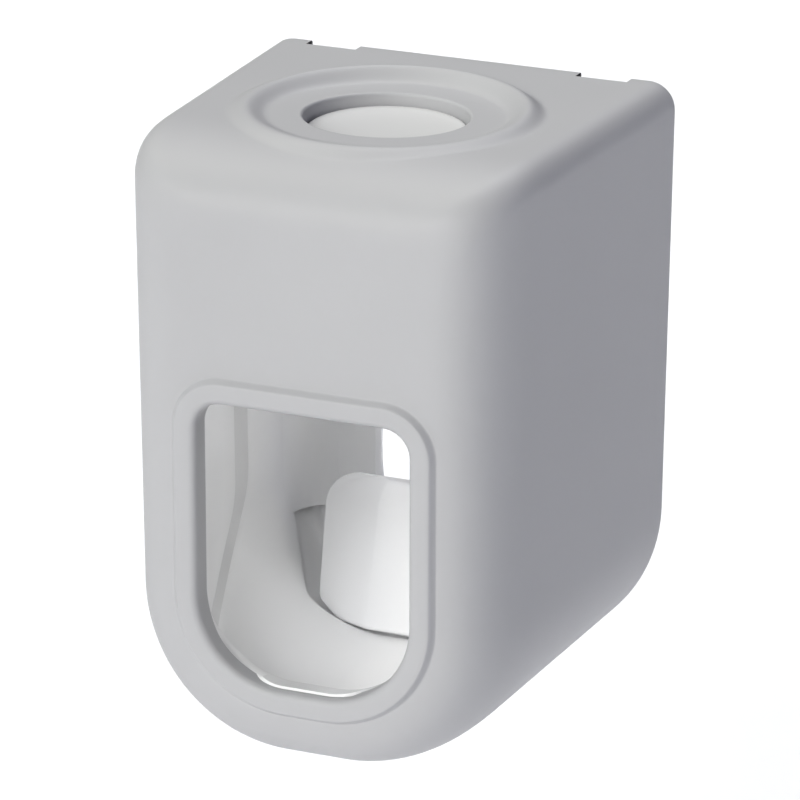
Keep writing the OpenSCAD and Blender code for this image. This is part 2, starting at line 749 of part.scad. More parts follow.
module push_lever() {
    stem_front = pivot_depth - gap;
    stem_rear = stem_front - stem_t;
    root_step = 2;
    root_z = pad_z1 - 2.2;
    root_h = 1.5;
    bend_z = pad_z1 + 6;
    arm_half_t = nose_r - 0.4;
    color("white")
        difference() {
            union() {
                pad_solid(0);
                // Stem behind the pad, cranked forward at its root
                across(stem_w / 2)
                    polygon([[-stem_front - root_step, root_z], [-stem_front - root_step, root_z + root_h],
                        [-stem_front, bend_z], [-stem_front, pivot_z], [-stem_rear, pivot_z],
                        [-stem_rear, bend_z - 1], [-stem_rear - root_step, root_z]]);
                rod_x(hub_r, hub_w / 2, pivot_depth, pivot_z);
                // Upper arm with its nose
                across(arm_w / 2)
                    polygon([[-pivot_depth - arm_half_t, pivot_z], [-pivot_depth - arm_half_t, pump_z],
                        [-pivot_depth + arm_half_t, pump_z], [-pivot_depth + arm_half_t, pivot_z]]);
                rod_x(nose_r, arm_w / 2, pivot_depth, pump_z);
            }
            // The pad is hollow behind, below the stem
            intersection() {
                pad_solid(pad_wall);
                block(-body_w, body_w, 0, d_front, pad_z0 + pad_wall, pad_z1 - pad_corner_r);
            }
            rod_x(pin_r + run_fit, body_w / 4, pivot_depth, pivot_z);
        }
}

module lever_pin() {
    color("silver")
        rod_x(pin_r, ear_x + ear_t + clip_room - gap, pivot_depth, pivot_z);
}

module pin_clips() {
    color("dimgray")
        both_sides()
            translate([ear_x + ear_t + gap / 2, -pivot_depth, pivot_z])
                rotate([0, 90, 0])
                    difference() {
                        cylinder(r = clip_r, h = clip_t);
                        translate([0, 0, -1])
                            cylinder(r = pin_r + push_fit, h = clip_t + 2);
                        translate([0, -slot_w, -1])
                            cube([clip_r + 1, 2 * slot_w, clip_t + 2]);
                    }
}

module pump_body() {
    d_foot_front = outlet_depth + 3;
    d_foot_rear = d_foot_front - foot_len;
    wall_x = nozzle_flange_r + gap;
    color("whitesmoke")
        difference() {
            union() {
                rod_y(pump_r, chamber_rear, d_chamber_front + chamber_end_t, pump_z);
                // Foot of the socket, flush with the chamber's rear end, and the socket with its widening rim
                intersection() {
                    post(socket_r, pump_z, socket_floor + bite, hole_depth);
                    block(-body_w, body_w, chamber_rear, d_front, 0, body_h);
                }
                translate([0, -hole_depth, 0])
                    rotate_extrude()
                        polygon([[0, socket_floor], [socket_r, socket_floor], [socket_r, socket_floor + 3],
                            [socket_rim_r, gasket_z - 1.7], [socket_rim_r, gasket_z], [0, gasket_z]]);
                // Spout that carries the nozzle
                post(spout_r, spout_z, pump_z - chamber_r - bite, outlet_depth);
                // Side walls and feet
                both_sides() {
                    block(wall_x, wall_x + pump_wall, d_foot_rear, d_foot_front, deck_top, pump_z + 2);
                    block(wall_x, foot_half_w, d_foot_rear, d_foot_front, deck_top, deck_top + foot_t);
                }
            }
            rod_y(chamber_r, chamber_rear - past, d_chamber_front, pump_z);
            post(port_r, pump_z, socket_floor + past, hole_depth);
            post(sleeve_r, socket_floor, socket_floor + past, hole_depth);
            post(plug_r + 2 * gap, sleeve_top, socket_floor + past, hole_depth);
            post(port_r, spout_z - past, pump_z, outlet_depth);
            both_sides()
                for (d = foot_screw_depths)
                    post(screw_r + push_fit, 0, deck_top + foot_t + 1, d, foot_screw_x);
        }
}

module pump_cap() {
    color("gainsboro")
        difference() {
            union() {
                rod_y(pump_r, d_cap, chamber_rear, pump_z);
                rod_y(chamber_r - run_fit, d_cap, chamber_rear + cap_spigot, pump_z);
            }
            rod_y(rod_r + run_fit, 0, d_front, pump_z);
        }
}

module inlet_valve() {
    flap_rim = 1;
    color("lightgray")
        difference() {
            post(sleeve_r - gap, socket_floor, sleeve_z, hole_depth);
            // The flap is cut free round three quarters of the port
            difference() {
                post(port_r + flap_rim + slot_w, 0, body_h, hole_depth);
                post(port_r + flap_rim, -1, body_h + 1, hole_depth);
                block(-socket_r, socket_r, 0, hole_depth - port_r / 2, -1, body_h + 1);
            }
        }
}

module piston() {
    color("white")
        difference() {
            union() {
                rod_y(rod_head_r, d_head, d_head + rod_head_t, pump_z);
                rod_y(rod_r, d_head, d_piston, pump_z);
                rod_y(chamber_r - run_fit, d_piston, d_piston + piston_t, pump_z);
            }
            difference() {
                rod_y(chamber_r + 1, groove_depth(), groove_depth() + groove_w, pump_z);
                rod_y(chamber_r - groove_deep, groove_depth() - 1, groove_depth() + groove_w + 1, pump_z);
            }
        }
}

function groove_depth() = d_piston + (piston_t - groove_w) / 2;

module piston_seal() {
    lip = 0.5;
    color("gray")
        translate([0, -groove_depth(), pump_z])
            rotate([90, 0, 0])
                rotate_extrude()
                    polygon([[chamber_r - groove_deep, 0], [chamber_r - lip, 0],
                        [chamber_r - run_fit / 2, lip], [chamber_r - lip / 2, groove_w / 2],
                        [chamber_r - run_fit / 2, groove_w - lip], [chamber_r - lip, groove_w],
                        [chamber_r - groove_deep, groove_w]]);
}

// Points along the spring's centre line, from the rod's head to the gland cap
spring_d0 = d_head + rod_head_t + gap + wire_d / 2;
spring_len = d_cap - gap - wire_d / 2 - spring_d0;
rings_a_coil = 8;
function spring_point(turn) = [coil_r * cos(360 * turn), -(spring_d0 + spring_len * turn / coils),
    pump_z + coil_r * sin(360 * turn)];
spring_line = [for (i = [0 : coils * rings_a_coil]) spring_point(i / rings_a_coil)];
last = len(spring_line) - 1;
spring_gap = min([for (i = [0 : last], j = [i + rings_a_coil / 2 : last])
    if (j <= last) norm(spring_line[i] - spring_line[j]) - wire_d]);

module return_spring() {
    sides = 6;
    rings = [for (i = [0 : coils * rings_a_coil])
        let (turn = i / rings_a_coil, c = spring_point(turn), out = [cos(360 * turn), 0, sin(360 * turn)])
        [for (k = [0 : sides - 1])
            c + wire_d / 2 * (cos(360 * k / sides) * out + sin(360 * k / sides) * [0, 1, 0])]];
    echo(spring_gap = spring_gap);
    color("silver")
        tube(rings);
}

// Closed tube with flat ends, all faces triangles
module tube(rings) {
    n = len(rings[0]);
    m = len(rings);
    sides = [for (i = [0 : m - 2], j = [0 : n - 1])
        let (a = i * n + j, b = i * n + (j + 1) % n)
        each [[a, b, b + n], [a, b + n, a + n]]];
    ends = [for (j = [1 : n - 2]) each [[0, j + 1, j], [(m - 1) * n, (m - 1) * n + j, (m - 1) * n + j + 1]]];
    polyhedron(points = [for (r = rings) each r], faces = concat(sides, ends), convexity = 8);
}

module nozzle() {
    tip_rim = 0.6;
    cone_h = 7;
    color("whitesmoke")
        translate([0, -outlet_depth, 0])
            rotate_extrude()
                polygon([[port_r, nozzle_tip], [nozzle_tip_r, nozzle_tip],
                    [nozzle_tip_r + tip_rim, nozzle_tip + tip_rim], [nozzle_r, nozzle_tip + cone_h],
                    [nozzle_r, deck_top], [nozzle_flange_r, deck_top],
                    [nozzle_flange_r, deck_top + nozzle_flange_t],
                    [spout_r + run_fit, deck_top + nozzle_flange_t],
                    [spout_r + run_fit, valve_z], [port_r, valve_z]]);
}

module outlet_valve() {
    lips_z = nozzle_tip + nozzle_reach * 0.3;
    lip_t = 0.375 * port_r;
    slit = port_r / 8;
    color("lightgray")
        difference() {
            translate([0, -outlet_depth, 0])
                rotate_extrude()
                    polygon([[port_r / 2, valve_z + valve_t], [spout_r, valve_z + valve_t],
                        [spout_r, valve_z], [port_r - bite, valve_z], [port_r - lip_t, lips_z],
                        [port_r / 5, lips_z]]);
            block(-slit / 2, slit / 2, 0, d_front, nozzle_tip, lips_z + lip_t * 1.5);
        }
}

module tube_seal() {
    color("gray")
        difference() {
            union() {
                post(sleeve_r - run_fit, sleeve_z, sleeve_top, hole_depth);
                post(sleeve_flange_r, sleeve_top, sleeve_top + sleeve_flange_t, hole_depth);
            }
            post(neck_r, 0, body_h + past, hole_depth);
        }
}

module seal_ring() {
    color("gray")
        difference() {
            post(socket_rim_r, gasket_z, shelf_under, hole_depth);
            post(socket_rim_r - gasket_w, 0, body_h + past, hole_depth);
        }
}

module dust_plug() {
    dish_half_w = 0.8 * plug_r;
    top = plug_z + plug_t;
    edge = 0.4;
    steps = 8;
    dish = [for (i = [0 : steps]) [dish_half_w * i / steps, top - plug_dish * (1 - pow(i / steps, 2))]];
    color("white")
        translate([0, -hole_depth, 0])
            rotate_extrude()
                polygon(concat(dish, [[plug_r - edge, top], [plug_r, top - edge],
                    [plug_r, plug_z - plug_skirt], [sleeve_flange_r + gap, plug_z - plug_skirt],
                    [sleeve_flange_r + gap, plug_z], [0, plug_z]]));
}

// Cross-headed screw that points down, its head's seat at the origin
module screw(len) {
    cross = 1.4 * screw_head_r;
    difference() {
        union() {
            cylinder(r = screw_head_r, h = screw_head_h);
            translate([0, 0, -len])
                cylinder(r = screw_r - push_fit, h = len + bite);
        }
        for (size = [[cross, slot_w, screw_head_h], [slot_w, cross, screw_head_h]])
            translate([-size[0] / 2, -size[1] / 2, screw_head_h / 2])
                cube(size);
    }
}

module frame_screws() {
    color("silver")
        both_sides()
            translate([liner_boss_x, -liner_screw_depth, deck_top])
                screw(liner_screw_len);
}

module pump_screws() {
    color("silver")
        both_sides()
            for (d = foot_screw_depths)
                translate([foot_screw_x, -d, deck_top + foot_t])
                    screw(foot_t + deck_t - gap);
}

module shell_screws() {
    color("silver")
        both_sides()
            translate([shell_boss_x, -(rim_gap + gap + screw_head_h), shell_boss_z])
                rotate([-90, 0, 0])
                    screw(shell_screw_len);
}

module wall_plate() {
    color("gainsboro")
        union() {
            along_depth(rim_gap, rim_gap + plate_t)
                polygon(panel(plate_w / 2, plate_z0, plate_z0 + plate_h, plate_r, plate_r));
            both_sides() {
                block(hook_x - hook_w / 2, hook_x + hook_w / 2, rim_gap + plate_t - bite,
                    d_hang_front + gap + hook_lip_t, hook_z - hook_h, hook_z);
                block(hook_x - hook_w / 2, hook_x + hook_w / 2, d_hang_front + gap,
                    d_hang_front + gap + hook_lip_t, hook_z - bite, hook_z + hook_lip_h);
            }
        }
}

module adhesive_pad() {
    color("lightgray")
        along_depth(0, rim_gap)
            polygon(panel(plate_w / 2 - pad_margin, plate_z0 + pad_margin, plate_z0 + plate_h - pad_margin,
                plate_r / 2, plate_r / 2));
}

module placed() {
    translate([0, 0, -plate_mid])
        children();
}

placed() outer_shell();
placed() drip_liner();
placed() core_frame();
placed() push_lever();
placed() lever_pin();
placed() pin_clips();
placed() pump_body();
placed() pump_cap();
placed() inlet_valve();
placed() piston();
placed() piston_seal();
placed() return_spring();
placed() nozzle();
placed() outlet_valve();
placed() tube_seal();
placed() seal_ring();
placed() dust_plug();
placed() frame_screws();
placed() pump_screws();
placed() shell_screws();
placed() wall_plate();
placed() adhesive_pad();
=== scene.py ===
"""The looks of a wall-hung toothpaste dispenser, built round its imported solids.

Sizes are in millimetres until new_object() turns them into metres. A point is (x, depth, height):
x to the right, depth in front of the wall, height over the body's lowest point.
"""
import json
import math

import bpy
import numpy as np
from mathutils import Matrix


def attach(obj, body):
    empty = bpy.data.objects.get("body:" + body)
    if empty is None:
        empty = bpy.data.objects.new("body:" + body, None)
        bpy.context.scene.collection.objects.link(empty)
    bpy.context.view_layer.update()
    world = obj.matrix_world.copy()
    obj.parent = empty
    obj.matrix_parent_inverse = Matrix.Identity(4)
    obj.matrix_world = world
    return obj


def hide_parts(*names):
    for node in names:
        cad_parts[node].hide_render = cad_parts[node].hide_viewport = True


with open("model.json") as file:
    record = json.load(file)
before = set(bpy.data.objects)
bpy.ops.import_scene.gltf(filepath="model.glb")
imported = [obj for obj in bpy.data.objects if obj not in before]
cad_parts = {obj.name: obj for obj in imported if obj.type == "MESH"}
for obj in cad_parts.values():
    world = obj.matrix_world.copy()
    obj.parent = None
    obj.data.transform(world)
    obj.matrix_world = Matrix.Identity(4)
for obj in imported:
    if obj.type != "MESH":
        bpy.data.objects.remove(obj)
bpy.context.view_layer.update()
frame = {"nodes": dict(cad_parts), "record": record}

MM = 0.001

# Where the body's lowest point lies in the frame
FLOOR_Z = -72.5
# Edges that turn by more than this many degrees stay crisp
SHARP = 38
# Steps of a search by halving
HALVINGS = 40

# Body
BODY_W = 68.0
BODY_D = 66.8
BODY_H = 95.8
WALL = 2.4
FRONT_NARROWING = 3.2
LOWER_NARROWING = 1.2
TOP_RISE = 1.7
BOTTOM_RISE = 0.7
TOP_CORNER_R = 4.3
FRONT_CORNER_R = 6.0
BOTTOM_CORNER_R = 26.2
LEAST_UPPER_R, LEAST_LOWER_R = 1, 4
ROUND_IN = 11.6
ROUND_DEEP = 20.9
ROUND_POWER = 2.64
RIM_GAP = 1.0
RIM_EDGE_R = 0.45
D_FRONT = RIM_GAP + BODY_D
# Angle of the rounding, in degrees, where the front face begins
FACE_TURN = 79

# Notches in the rear top edge, where the frame's tabs show
NOTCH_X0, NOTCH_X1, NOTCH_D = 18.4, 26.8, 3.6
NOTCH_PAST = 2.0

# Window and its bead
WINDOW_HALF_W = 17.15
# The window lies a little to the right of the middle, as in the photo
WINDOW_SHIFT = 0.55
WINDOW_SILL = 15.0
WINDOW_HEAD = 59.5
WINDOW_UPPER_R = 4.2
WINDOW_LOWER_R = 13.8
BEAD_W = 4.1
BEAD_H = 1.12
BEAD_FLANK = 0.95
BEAD_EDGE_R = 1.12
# Where the bead's base leaves the flat of the window for the rounded face
BEAD_BASE = 0.6
# The window's sides and head are turned in behind the bead, down to an angle of the lower corner
TURN_IN, TURN_IN_T, TURN_IN_SHORT = 0.7, 0.55, 0.2
TURN_IN_TO, TURN_IN_FADE = 40, 30

# Ring round the tube hole
HOLE_DEPTH = 34.75
HOLE_R = 12.6
HOLE_EDGE_R = 0.5
RING_R = 21.2
RING_H = 2.0
RING_OUT = 3.0
RING_IN = 3.4
# The shelf inside the ring rises towards the front as the top does
SHELF_RISE = 0.036

# Points along one ring of the body: upper arcs, top, sides, lower arcs, bottom
N_UP, N_TOP, N_SIDE, N_LOW, N_BOT = 12, 40, 44, 34, 12
# Rings of the body over its straight part and over its rounding
N_STRAIGHT, N_ROUND = 34, 34
# Rings over the front face, outside and inside
N_FACE, N_FACE_IN = 16, 6
# The top is left open between these points and depths, for the circles round the tube hole
PATCH_J0, PATCH_J1 = N_UP + 1, N_UP + N_TOP - 1
PATCH_D0, PATCH_D1 = 8.4, 61.2
PATCH_R, PATCH_PITCH = 24.8, 0.4

# Drip liner
LINER_TOP = 60.0
LINER_OUT = 2.7
LINER_IN = 4.7
# Its surface ends at this angle of the rounding, after this many rows
LINER_TURN, LINER_ROUND_ROWS = 74, 22
PANEL_TOP = 50.0
PANEL_REAR = 1.3
PANEL_FRONT = 3.4
REAR_FILLET = 7.0
CHEEK_STEP = 0.9
STEP_RUN = 8.0
# Painted shade on the step: how much darker its colour is painted than the cheek's, and how fast the
# darkening sets in
STEP_PAINTED_SHADE, STEP_PAINTED_SHADE_EDGE = 0.17, 0.05
# The step stands upright above STEP_TURN and swings forward below it
STEP_DEPTH, STEP_FRONT, STEP_TURN = 29.3, 55.0, 33.0
STEP_SWING, STEP_SWING_POWER = 0.0495, 2.1
STEP_FADE0, STEP_FADE1 = 11.5, 15.0
# Depth at which the step reads the height of each column
STEP_READ = 30.0
# The pocket behind the pad, let into the cheeks and the floor
WELL_DEEP = 1.1
WELL_TOP = 19.0
WELL_FRONT, WELL_REAR, WELL_FLOOR_FRONT = 22.0, 8.4, 20.0
WELL_X0, WELL_X1 = 18.6, 27.2
WELL_FILLET = 2.2
WELL_EDGE = 0.35
WELL_CLEAR = 0.6
# The front edge lies back from the window's sides and drops at its sill
LINER_FRONT_BACK, LINER_SILL_DROP = 1.2, 0.3
DROP_FROM, DROP_FADE = 10, 50
# The columns above the pocket take this many degrees of the window's corner
UPPER_ARC = 25
# The lip that lines the window's sill, growing between two angles of the corner
LIP_GAP, LIP_T, LIP_BACK = 0.12, 0.45, 0.5
LIP_FROM, LIP_TO = 52.0, 84.0
# Half width, lower end, upper end and corner radius of the rear opening
REAR_OPEN = (14.4, 23.6, 46.0, 1.2)
REAR_BEVEL, REAR_BAND = 0.7, 2.5
REAR_REACH, REAR_COLUMNS = 60.0, 24
LINER_BOSS_X, LINER_BOSS_D, LINER_BOSS_R, LINER_BOSS_Z = 25.4, 20.0, 3.2, 46.0
BOSS_EDGE, BOSS_TIP_EDGE, BOSS_END_T = 0.3, 0.8, 2
SCREW_R = 1.2
# Revolved faces end this far from their axis
AXIS_R, PLUG_AXIS_R = 0.05, 0.02

# Push lever
PIVOT_D, PIVOT_Z = 10.4, 60.0
PAD_Z0, PAD_Z1 = 5.4, 27.7
PAD_W, PAD_SPREAD, PAD_CORNER_R = 36.8, 2.0, 5.5
PAD_FLAT, PAD_DEPTH, PAD_FRONT, PAD_LEAN = 9.5, 5.0, 15.4, 5.4
PAD_SIDE_FALL, PAD_FOOT_FALL, PAD_SIDE_POWER = 4.5, 1.2, 1.0
PAD_BROW, PAD_FOOT, PAD_WALL, PAD_GAP = 3.0, 1.1, 1.8, 0.8
PAD_BROW_CREASE = 0.1
# Shares of the pad's depth that its brow and its foot fall back by, and its least depths
PAD_BROW_BACK, PAD_FOOT_BACK = 0.7, 0.25
PAD_LEAST, PAD_SIDE_LEAST = 0.8, 0.5
PAD_EDGE_R = 0.45
# Half the band along the crease that has no point of its own
PAD_CREASE_BAND = 0.15
# The hollow behind the pad: its slope to the sides, and where the rear edge begins
HOLLOW_SPREAD, HOLLOW_END = 1.12, 0.93
N_PAD_BACK = 41
GAP = 0.3
STEM_T, STEM_HALF_W, STEM_BEVEL = 3.0, 5.5, 0.5
# The stem's foot starts inside the pad and stands forward; it bends back to its straight part above
STEM_IN_PAD, STEM_FORWARD, STEM_FOOT_H = 2.2, 2, 1.5
STEM_BEND, STEM_BEND_REAR = 6, 1
ARM_TOP, ARM_HALF_T, ARM_HALF_W, ARM_BEVEL = 74.0, 2.6, 4.0, 0.4
HUB_R, HUB_BORE, HUB_HALF_W = 4.4, 1.55, 6.1
NOSE_R, NOSE_HALF_W = 3.0, 4.0
ROUND_EDGE = 0.4

# Dust plug
PLUG_R, PLUG_BORE = 12.4, 10.5
PLUG_FOOT, PLUG_UNDER, PLUG_TOP = 90.3, 91.0, 94.0
PLUG_DISH, PLUG_DISH_SHARE = 0.5, 0.8
PLUG_EDGE_R, PLUG_FOOT_EDGE, PLUG_BORE_EDGE = 0.6, 0.15, 0.1


def lerp(a, b, t):
    return a + (b - a) * t


def smooth(t):
    t = np.clip(t, 0.0, 1.0)
    return t * t * (3 - 2 * t)


def arc_points(cx, cz, r, a0, a1, n):
    a = np.radians(np.linspace(a0, a1, n, endpoint=False))
    return np.stack([cx + r * np.cos(a), cz + r * np.sin(a)], 1)


def line_points(p, q, n):
    t = np.linspace(0, 1, n, endpoint=False)[:, None]
    return np.array(p) * (1 - t) + np.array(q) * t


def panel(half_w, z0, z1, r_low, r_up):
    """A rounded panel that starts at the right upper corner and runs over the top to the left."""
    xu, zu = half_w - r_up, z1 - r_up
    xl, zl = half_w - r_low, z0 + r_low
    return np.concatenate([
        arc_points(xu, zu, r_up, 0, 90, N_UP),
        line_points((xu, z1), (-xu, z1), N_TOP),
        arc_points(-xu, zu, r_up, 90, 180, N_UP),
        line_points((-half_w, zu), (-half_w, zl), N_SIDE),
        arc_points(-xl, zl, r_low, 180, 270, N_LOW),
        line_points((-xl, z0), (xl, z0), N_BOT),
        arc_points(xl, zl, r_low, 270, 360, N_LOW),
        line_points((half_w, zl), (half_w, zu), N_SIDE)])


def outside_corner(u, v, r):
    """How far points lie outside a corner of radius r, when they are u and v past its centre."""
    return np.where((u > 0) & (v > 0), np.hypot(u, v), np.maximum(u, v)) - r


def side_scale(z):
    """How much the body narrows at a height."""
    return 1 - 2 * LOWER_NARROWING / BODY_W * (1 - z / BODY_H)


def section_sizes(d, skin, extra, share):
    """Half width, bottom, top, lower and upper radius of a cross-section, a skin inside the body."""
    f = (d - RIM_GAP) / BODY_D
    inset = skin + extra
    upper_r = TOP_CORNER_R - skin + (FRONT_CORNER_R - TOP_CORNER_R) * share
    return (BODY_W / 2 - FRONT_NARROWING * f - inset, BOTTOM_RISE * f + inset,
            BODY_H + TOP_RISE * f - inset, np.maximum(LEAST_LOWER_R, BOTTOM_CORNER_R - inset),
            np.maximum(LEAST_UPPER_R, upper_r))


def section(d, skin=0.0, extra=0.0, share=0.0):
    """One cross-section of the body as points (x, depth, height)."""
    p = panel(*section_sizes(d, skin, extra, share))
    return np.stack([p[:, 0] * side_scale(p[:, 1]), np.full(len(p), d), p[:, 1]], 1)


def rounding(t, skin=0.0):
    """Depth, extra inset and share of the front rounding at an angle t in radians."""
    turn = 1 - np.cos(t) ** (2 / ROUND_POWER)
    back = 1 - np.sin(t) ** (2 / ROUND_POWER)
    return D_FRONT - skin - back * (ROUND_DEEP - skin), turn * (ROUND_IN - skin), turn


def round_section(t, skin=0.0):
    d, extra, share = rounding(t, skin)
    return section(d, skin, extra, share)


def round_turn(d, skin):
    """How far the rounding has come at a depth, along the depth and across it, both from 0 to 1."""
    u = np.clip(1 - (D_FRONT - skin - d) / (ROUND_DEEP - skin), 0, 1)
    return u, 1 - (1 - u ** ROUND_POWER) ** (1 / ROUND_POWER)


def front_depth(x, z, skin=0.0):
    """Depth of the front surface over points of the x-z plane, by halving the rounding's angle."""
    lo, hi = np.full(len(x), 1e-6), np.full(len(x), math.pi / 2)
    ax = np.abs(x) / side_scale(z)
    for _ in range(HALVINGS):
        t = (lo + hi) / 2
        d, extra, share = rounding(t, skin)
        half_w, z0, z1, r_low, r_up = section_sizes(d, skin, extra, share)
        upper = z > (z0 + z1) / 2
        r = np.where(upper, r_up, r_low)
        v = np.where(upper, z - (z1 - r), (z0 + r) - z)
        out = outside_corner(ax - (half_w - r), v, r)
        lo, hi = np.where(out < 0, t, lo), np.where(out < 0, hi, t)
    return rounding(lo, skin)[0]


def body_top(x, d, skin=0.0):
    """Height of the body's top over points given by x and depth."""
    _, turn = round_turn(d, skin)
    half_w, _, z1, _, r = section_sizes(d, skin, turn * (ROUND_IN - skin), turn)
    over = np.clip(np.abs(x) - (half_w - r), 0, r)
    return z1 - r + np.sqrt(r * r - over * over)


def window_points(grow):
    """The window's outline, grown by a margin."""
    return panel(WINDOW_HALF_W + grow, WINDOW_SILL - grow, WINDOW_HEAD + grow,
                 WINDOW_LOWER_R + grow, WINDOW_UPPER_R + grow) + [WINDOW_SHIFT, 0]


def flat_ring(p, d):
    return np.stack([p[:, 0], np.broadcast_to(d, len(p)), p[:, 1]], 1)


def add_object(name, data):
    obj = bpy.data.objects.new(name, data)
    bpy.context.scene.collection.objects.link(obj)
    return obj


def shade(obj):
    obj.data.shade_smooth()
    obj.data.set_sharp_from_angle(angle=math.radians(SHARP))


def new_object(name, verts, faces, painted_shade=None):
    """A shaded object from points in millimetres; painted shade darkens its points by the shares given."""
    v = np.asarray(verts, float)
    xyz = np.stack([v[:, 0], -v[:, 1], v[:, 2] + FLOOR_Z], 1) * MM
    mesh = bpy.data.meshes.new(name)
    mesh.from_pydata(xyz.tolist(), [], [tuple(int(i) for i in f) for f in faces])
    # Painted shade: a darkening share for each point, which the materials read
    if painted_shade is not None:
        values = mesh.attributes.new("painted_shade", "FLOAT", "POINT").data
        values.foreach_set("value", np.asarray(painted_shade, np.float32))
    mesh.validate()
    mesh.update()
    obj = add_object(name, mesh)
    shade(obj)
    return obj


def mesh_piece(name, grid, body, replaces, painted_shade=None):
    """A piece of the scene that rides on a body and stands for CAD nodes."""
    obj = new_object(name, grid.verts, grid.faces, painted_shade)
    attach(obj, body)
    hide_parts(*replaces)
    return obj


class Grid:
    """Points and faces gathered ring by ring."""

    def __init__(self):
        self.verts = []
        self.faces = []

    def ring(self, points):
        first = len(self.verts)
        self.verts.extend(map(tuple, points))
        return np.arange(first, first + len(points))

    def bridge(self, a, b, skip=lambda j: False, closed=True):
        n = len(a)
        for j in range(n if closed else n - 1):
            if not skip(j):
                k = (j + 1) % n
                self.faces.append((a[j], b[j], b[k], a[k]))

    def follow(self, last, points, flip=False, closed=True):
        """Adds a ring after the last one, joined to it; flip turns the faces over."""
        now = self.ring(points)
        a, b = (now, last) if flip else (last, now)
        self.bridge(a, b, closed=closed)
        return now

    def solid(self, rings):
        """Joins rings in their order and closes both ends."""
        for a, b in zip(rings, rings[1:]):
            self.bridge(a, b)
        self.faces.append(tuple(rings[0][::-1]))
        self.faces.append(tuple(rings[-1]))

    def points(self, ring):
        return np.array([self.verts[i] for i in ring])


def shelf_height(d):
    return BODY_H + SHELF_RISE * np.maximum(0, d - HOLE_DEPTH + HOLE_R)


def ring_height(r, d, over_body):
    """Height of the ring at a radius, over the body's top outside and the shelf inside."""
    crest = BODY_H + RING_H
    out = smooth(1 - (r - RING_R) / RING_OUT)
    inn = smooth(1 - (RING_R - r) / RING_IN)
    return np.where(r > RING_R, lerp(over_body, crest, out), lerp(shelf_height(d), crest, inn))


def top_patch(grid, rings, rows, skin):
    """Fills the gap in the top with circles round the tube hole, and returns the hole's ring."""
    row0, row1 = rows[0], rows[-1]
    loop = [(row0, j) for j in range(PATCH_J0, PATCH_J1)]
    loop += [(i, PATCH_J1) for i in rows[:-1]]
    loop += [(row1, j) for j in range(PATCH_J1, PATCH_J0, -1)]
    loop += [(i, PATCH_J0) for i in rows[:0:-1]]
    last = np.array([rings[i][j] for i, j in loop])
    p = grid.points(last)
    angle = np.arctan2(p[:, 1] - HOLE_DEPTH, p[:, 0])
    far = np.hypot(p[:, 1] - HOLE_DEPTH, p[:, 0])

    def circle(r, z=None):
        x, d = r * np.cos(angle), HOLE_DEPTH + r * np.sin(angle)
        if z is None:
            z = body_top(x, d, skin)
            z = ring_height(np.hypot(x, d - HOLE_DEPTH), d, z) if skin == 0 else z
        return np.stack([x, d, np.broadcast_to(z, len(x))], 1)

    hole_edge = HOLE_R + HOLE_EDGE_R
    radii = [lerp(far, PATCH_R, t) for t in (0.35, 0.7, 1.0)]
    radii += [np.full(len(p), r) for r in np.arange(PATCH_R - PATCH_PITCH, hole_edge + 0.1, -PATCH_PITCH)]
    for r in radii:
        if skin and r.max() < RING_R:
            break
        last = grid.follow(last, circle(r))
    if skin:
        for r in (RING_R, (RING_R + HOLE_R) / 2, HOLE_R):
            last = grid.follow(last, circle(np.full(len(p), r), BODY_H - WALL))
        return last
    for a in np.radians(np.linspace(0, 90, 8)):
        r = HOLE_R + HOLE_EDGE_R * (1 - math.sin(a))
        z = shelf_height(HOLE_DEPTH + r * np.sin(angle)) - HOLE_EDGE_R * (1 - math.cos(a))
        last = grid.follow(last, circle(np.full(len(p), r), z))
    return last


def body_rings(grid, skin):
    """Rings from the rear rim to the front face, and the rows with the gap in the top."""
    straight = np.linspace(RIM_GAP + RIM_EDGE_R, D_FRONT - ROUND_DEEP, N_STRAIGHT, endpoint=False)
    turns = np.radians(np.linspace(0, FACE_TURN, N_ROUND))
    shapes = [section(d, skin) for d in straight] + [round_section(t, skin) for t in turns]
    rows = [i for i, s in enumerate(shapes) if PATCH_D0 < s[0][1] < PATCH_D1]
    rings = [grid.ring(s) for s in shapes]
    for i in range(len(rings) - 1):
        gap = rows[0] <= i < rows[-1]
        grid.bridge(rings[i], rings[i + 1], lambda j: gap and PATCH_J0 <= j < PATCH_J1)
    return rings, rows


def front_face(grid, last, foot, count, skin):
    """Rings over the front face, from the last ring in to a line round the window."""
    edge = grid.points(last)[:, [0, 2]]
    for s in np.linspace(0, 1, count)[1:]:
        p = lerp(edge, foot, s)
        last = grid.follow(last, flat_ring(p, front_depth(p[:, 0], p[:, 1], skin)))
    return last


def bead_profile():
    """Distance from the window's edge and height over the face, from the bead's foot inwards."""
    flank = [(BEAD_W - BEAD_FLANK * s, BEAD_H * smooth(s)) for s in np.linspace(0, 1, 9)[1:]]
    top = [(lerp(BEAD_W - BEAD_FLANK, BEAD_EDGE_R, s), BEAD_H) for s in (0.33, 0.66)]
    edge = [(BEAD_EDGE_R * (1 - math.sin(a)), BEAD_H - BEAD_EDGE_R * (1 - math.cos(a)))
            for a in np.radians(np.linspace(0, 90, 8))]
    jamb = [(0.0, h) for h in (-0.5, -1.2, -WALL + 0.3)]
    return flank + top + edge + jamb


def window_edge(grid, last):
    """The bead, the window's edge and the part that is turned in behind it."""
    for g, h in bead_profile():
        p = window_points(g)
        base = lerp(D_FRONT, front_depth(p[:, 0], p[:, 1]), smooth(g / BEAD_W * 2 - BEAD_BASE))
        last = grid.follow(last, flat_ring(p, base + h))
    down = (WINDOW_SILL + WINDOW_LOWER_R - window_points(0.0)[:, 1]) / WINDOW_LOWER_R
    arc = np.degrees(np.arcsin(np.clip(down, 0, 1)))
    deep = D_FRONT - WALL + TURN_IN_SHORT - TURN_IN * smooth((TURN_IN_TO - arc) / TURN_IN_FADE)
    for g in (0.0, TURN_IN_T):
        last = grid.follow(last, flat_ring(window_points(g), deep))
    return last


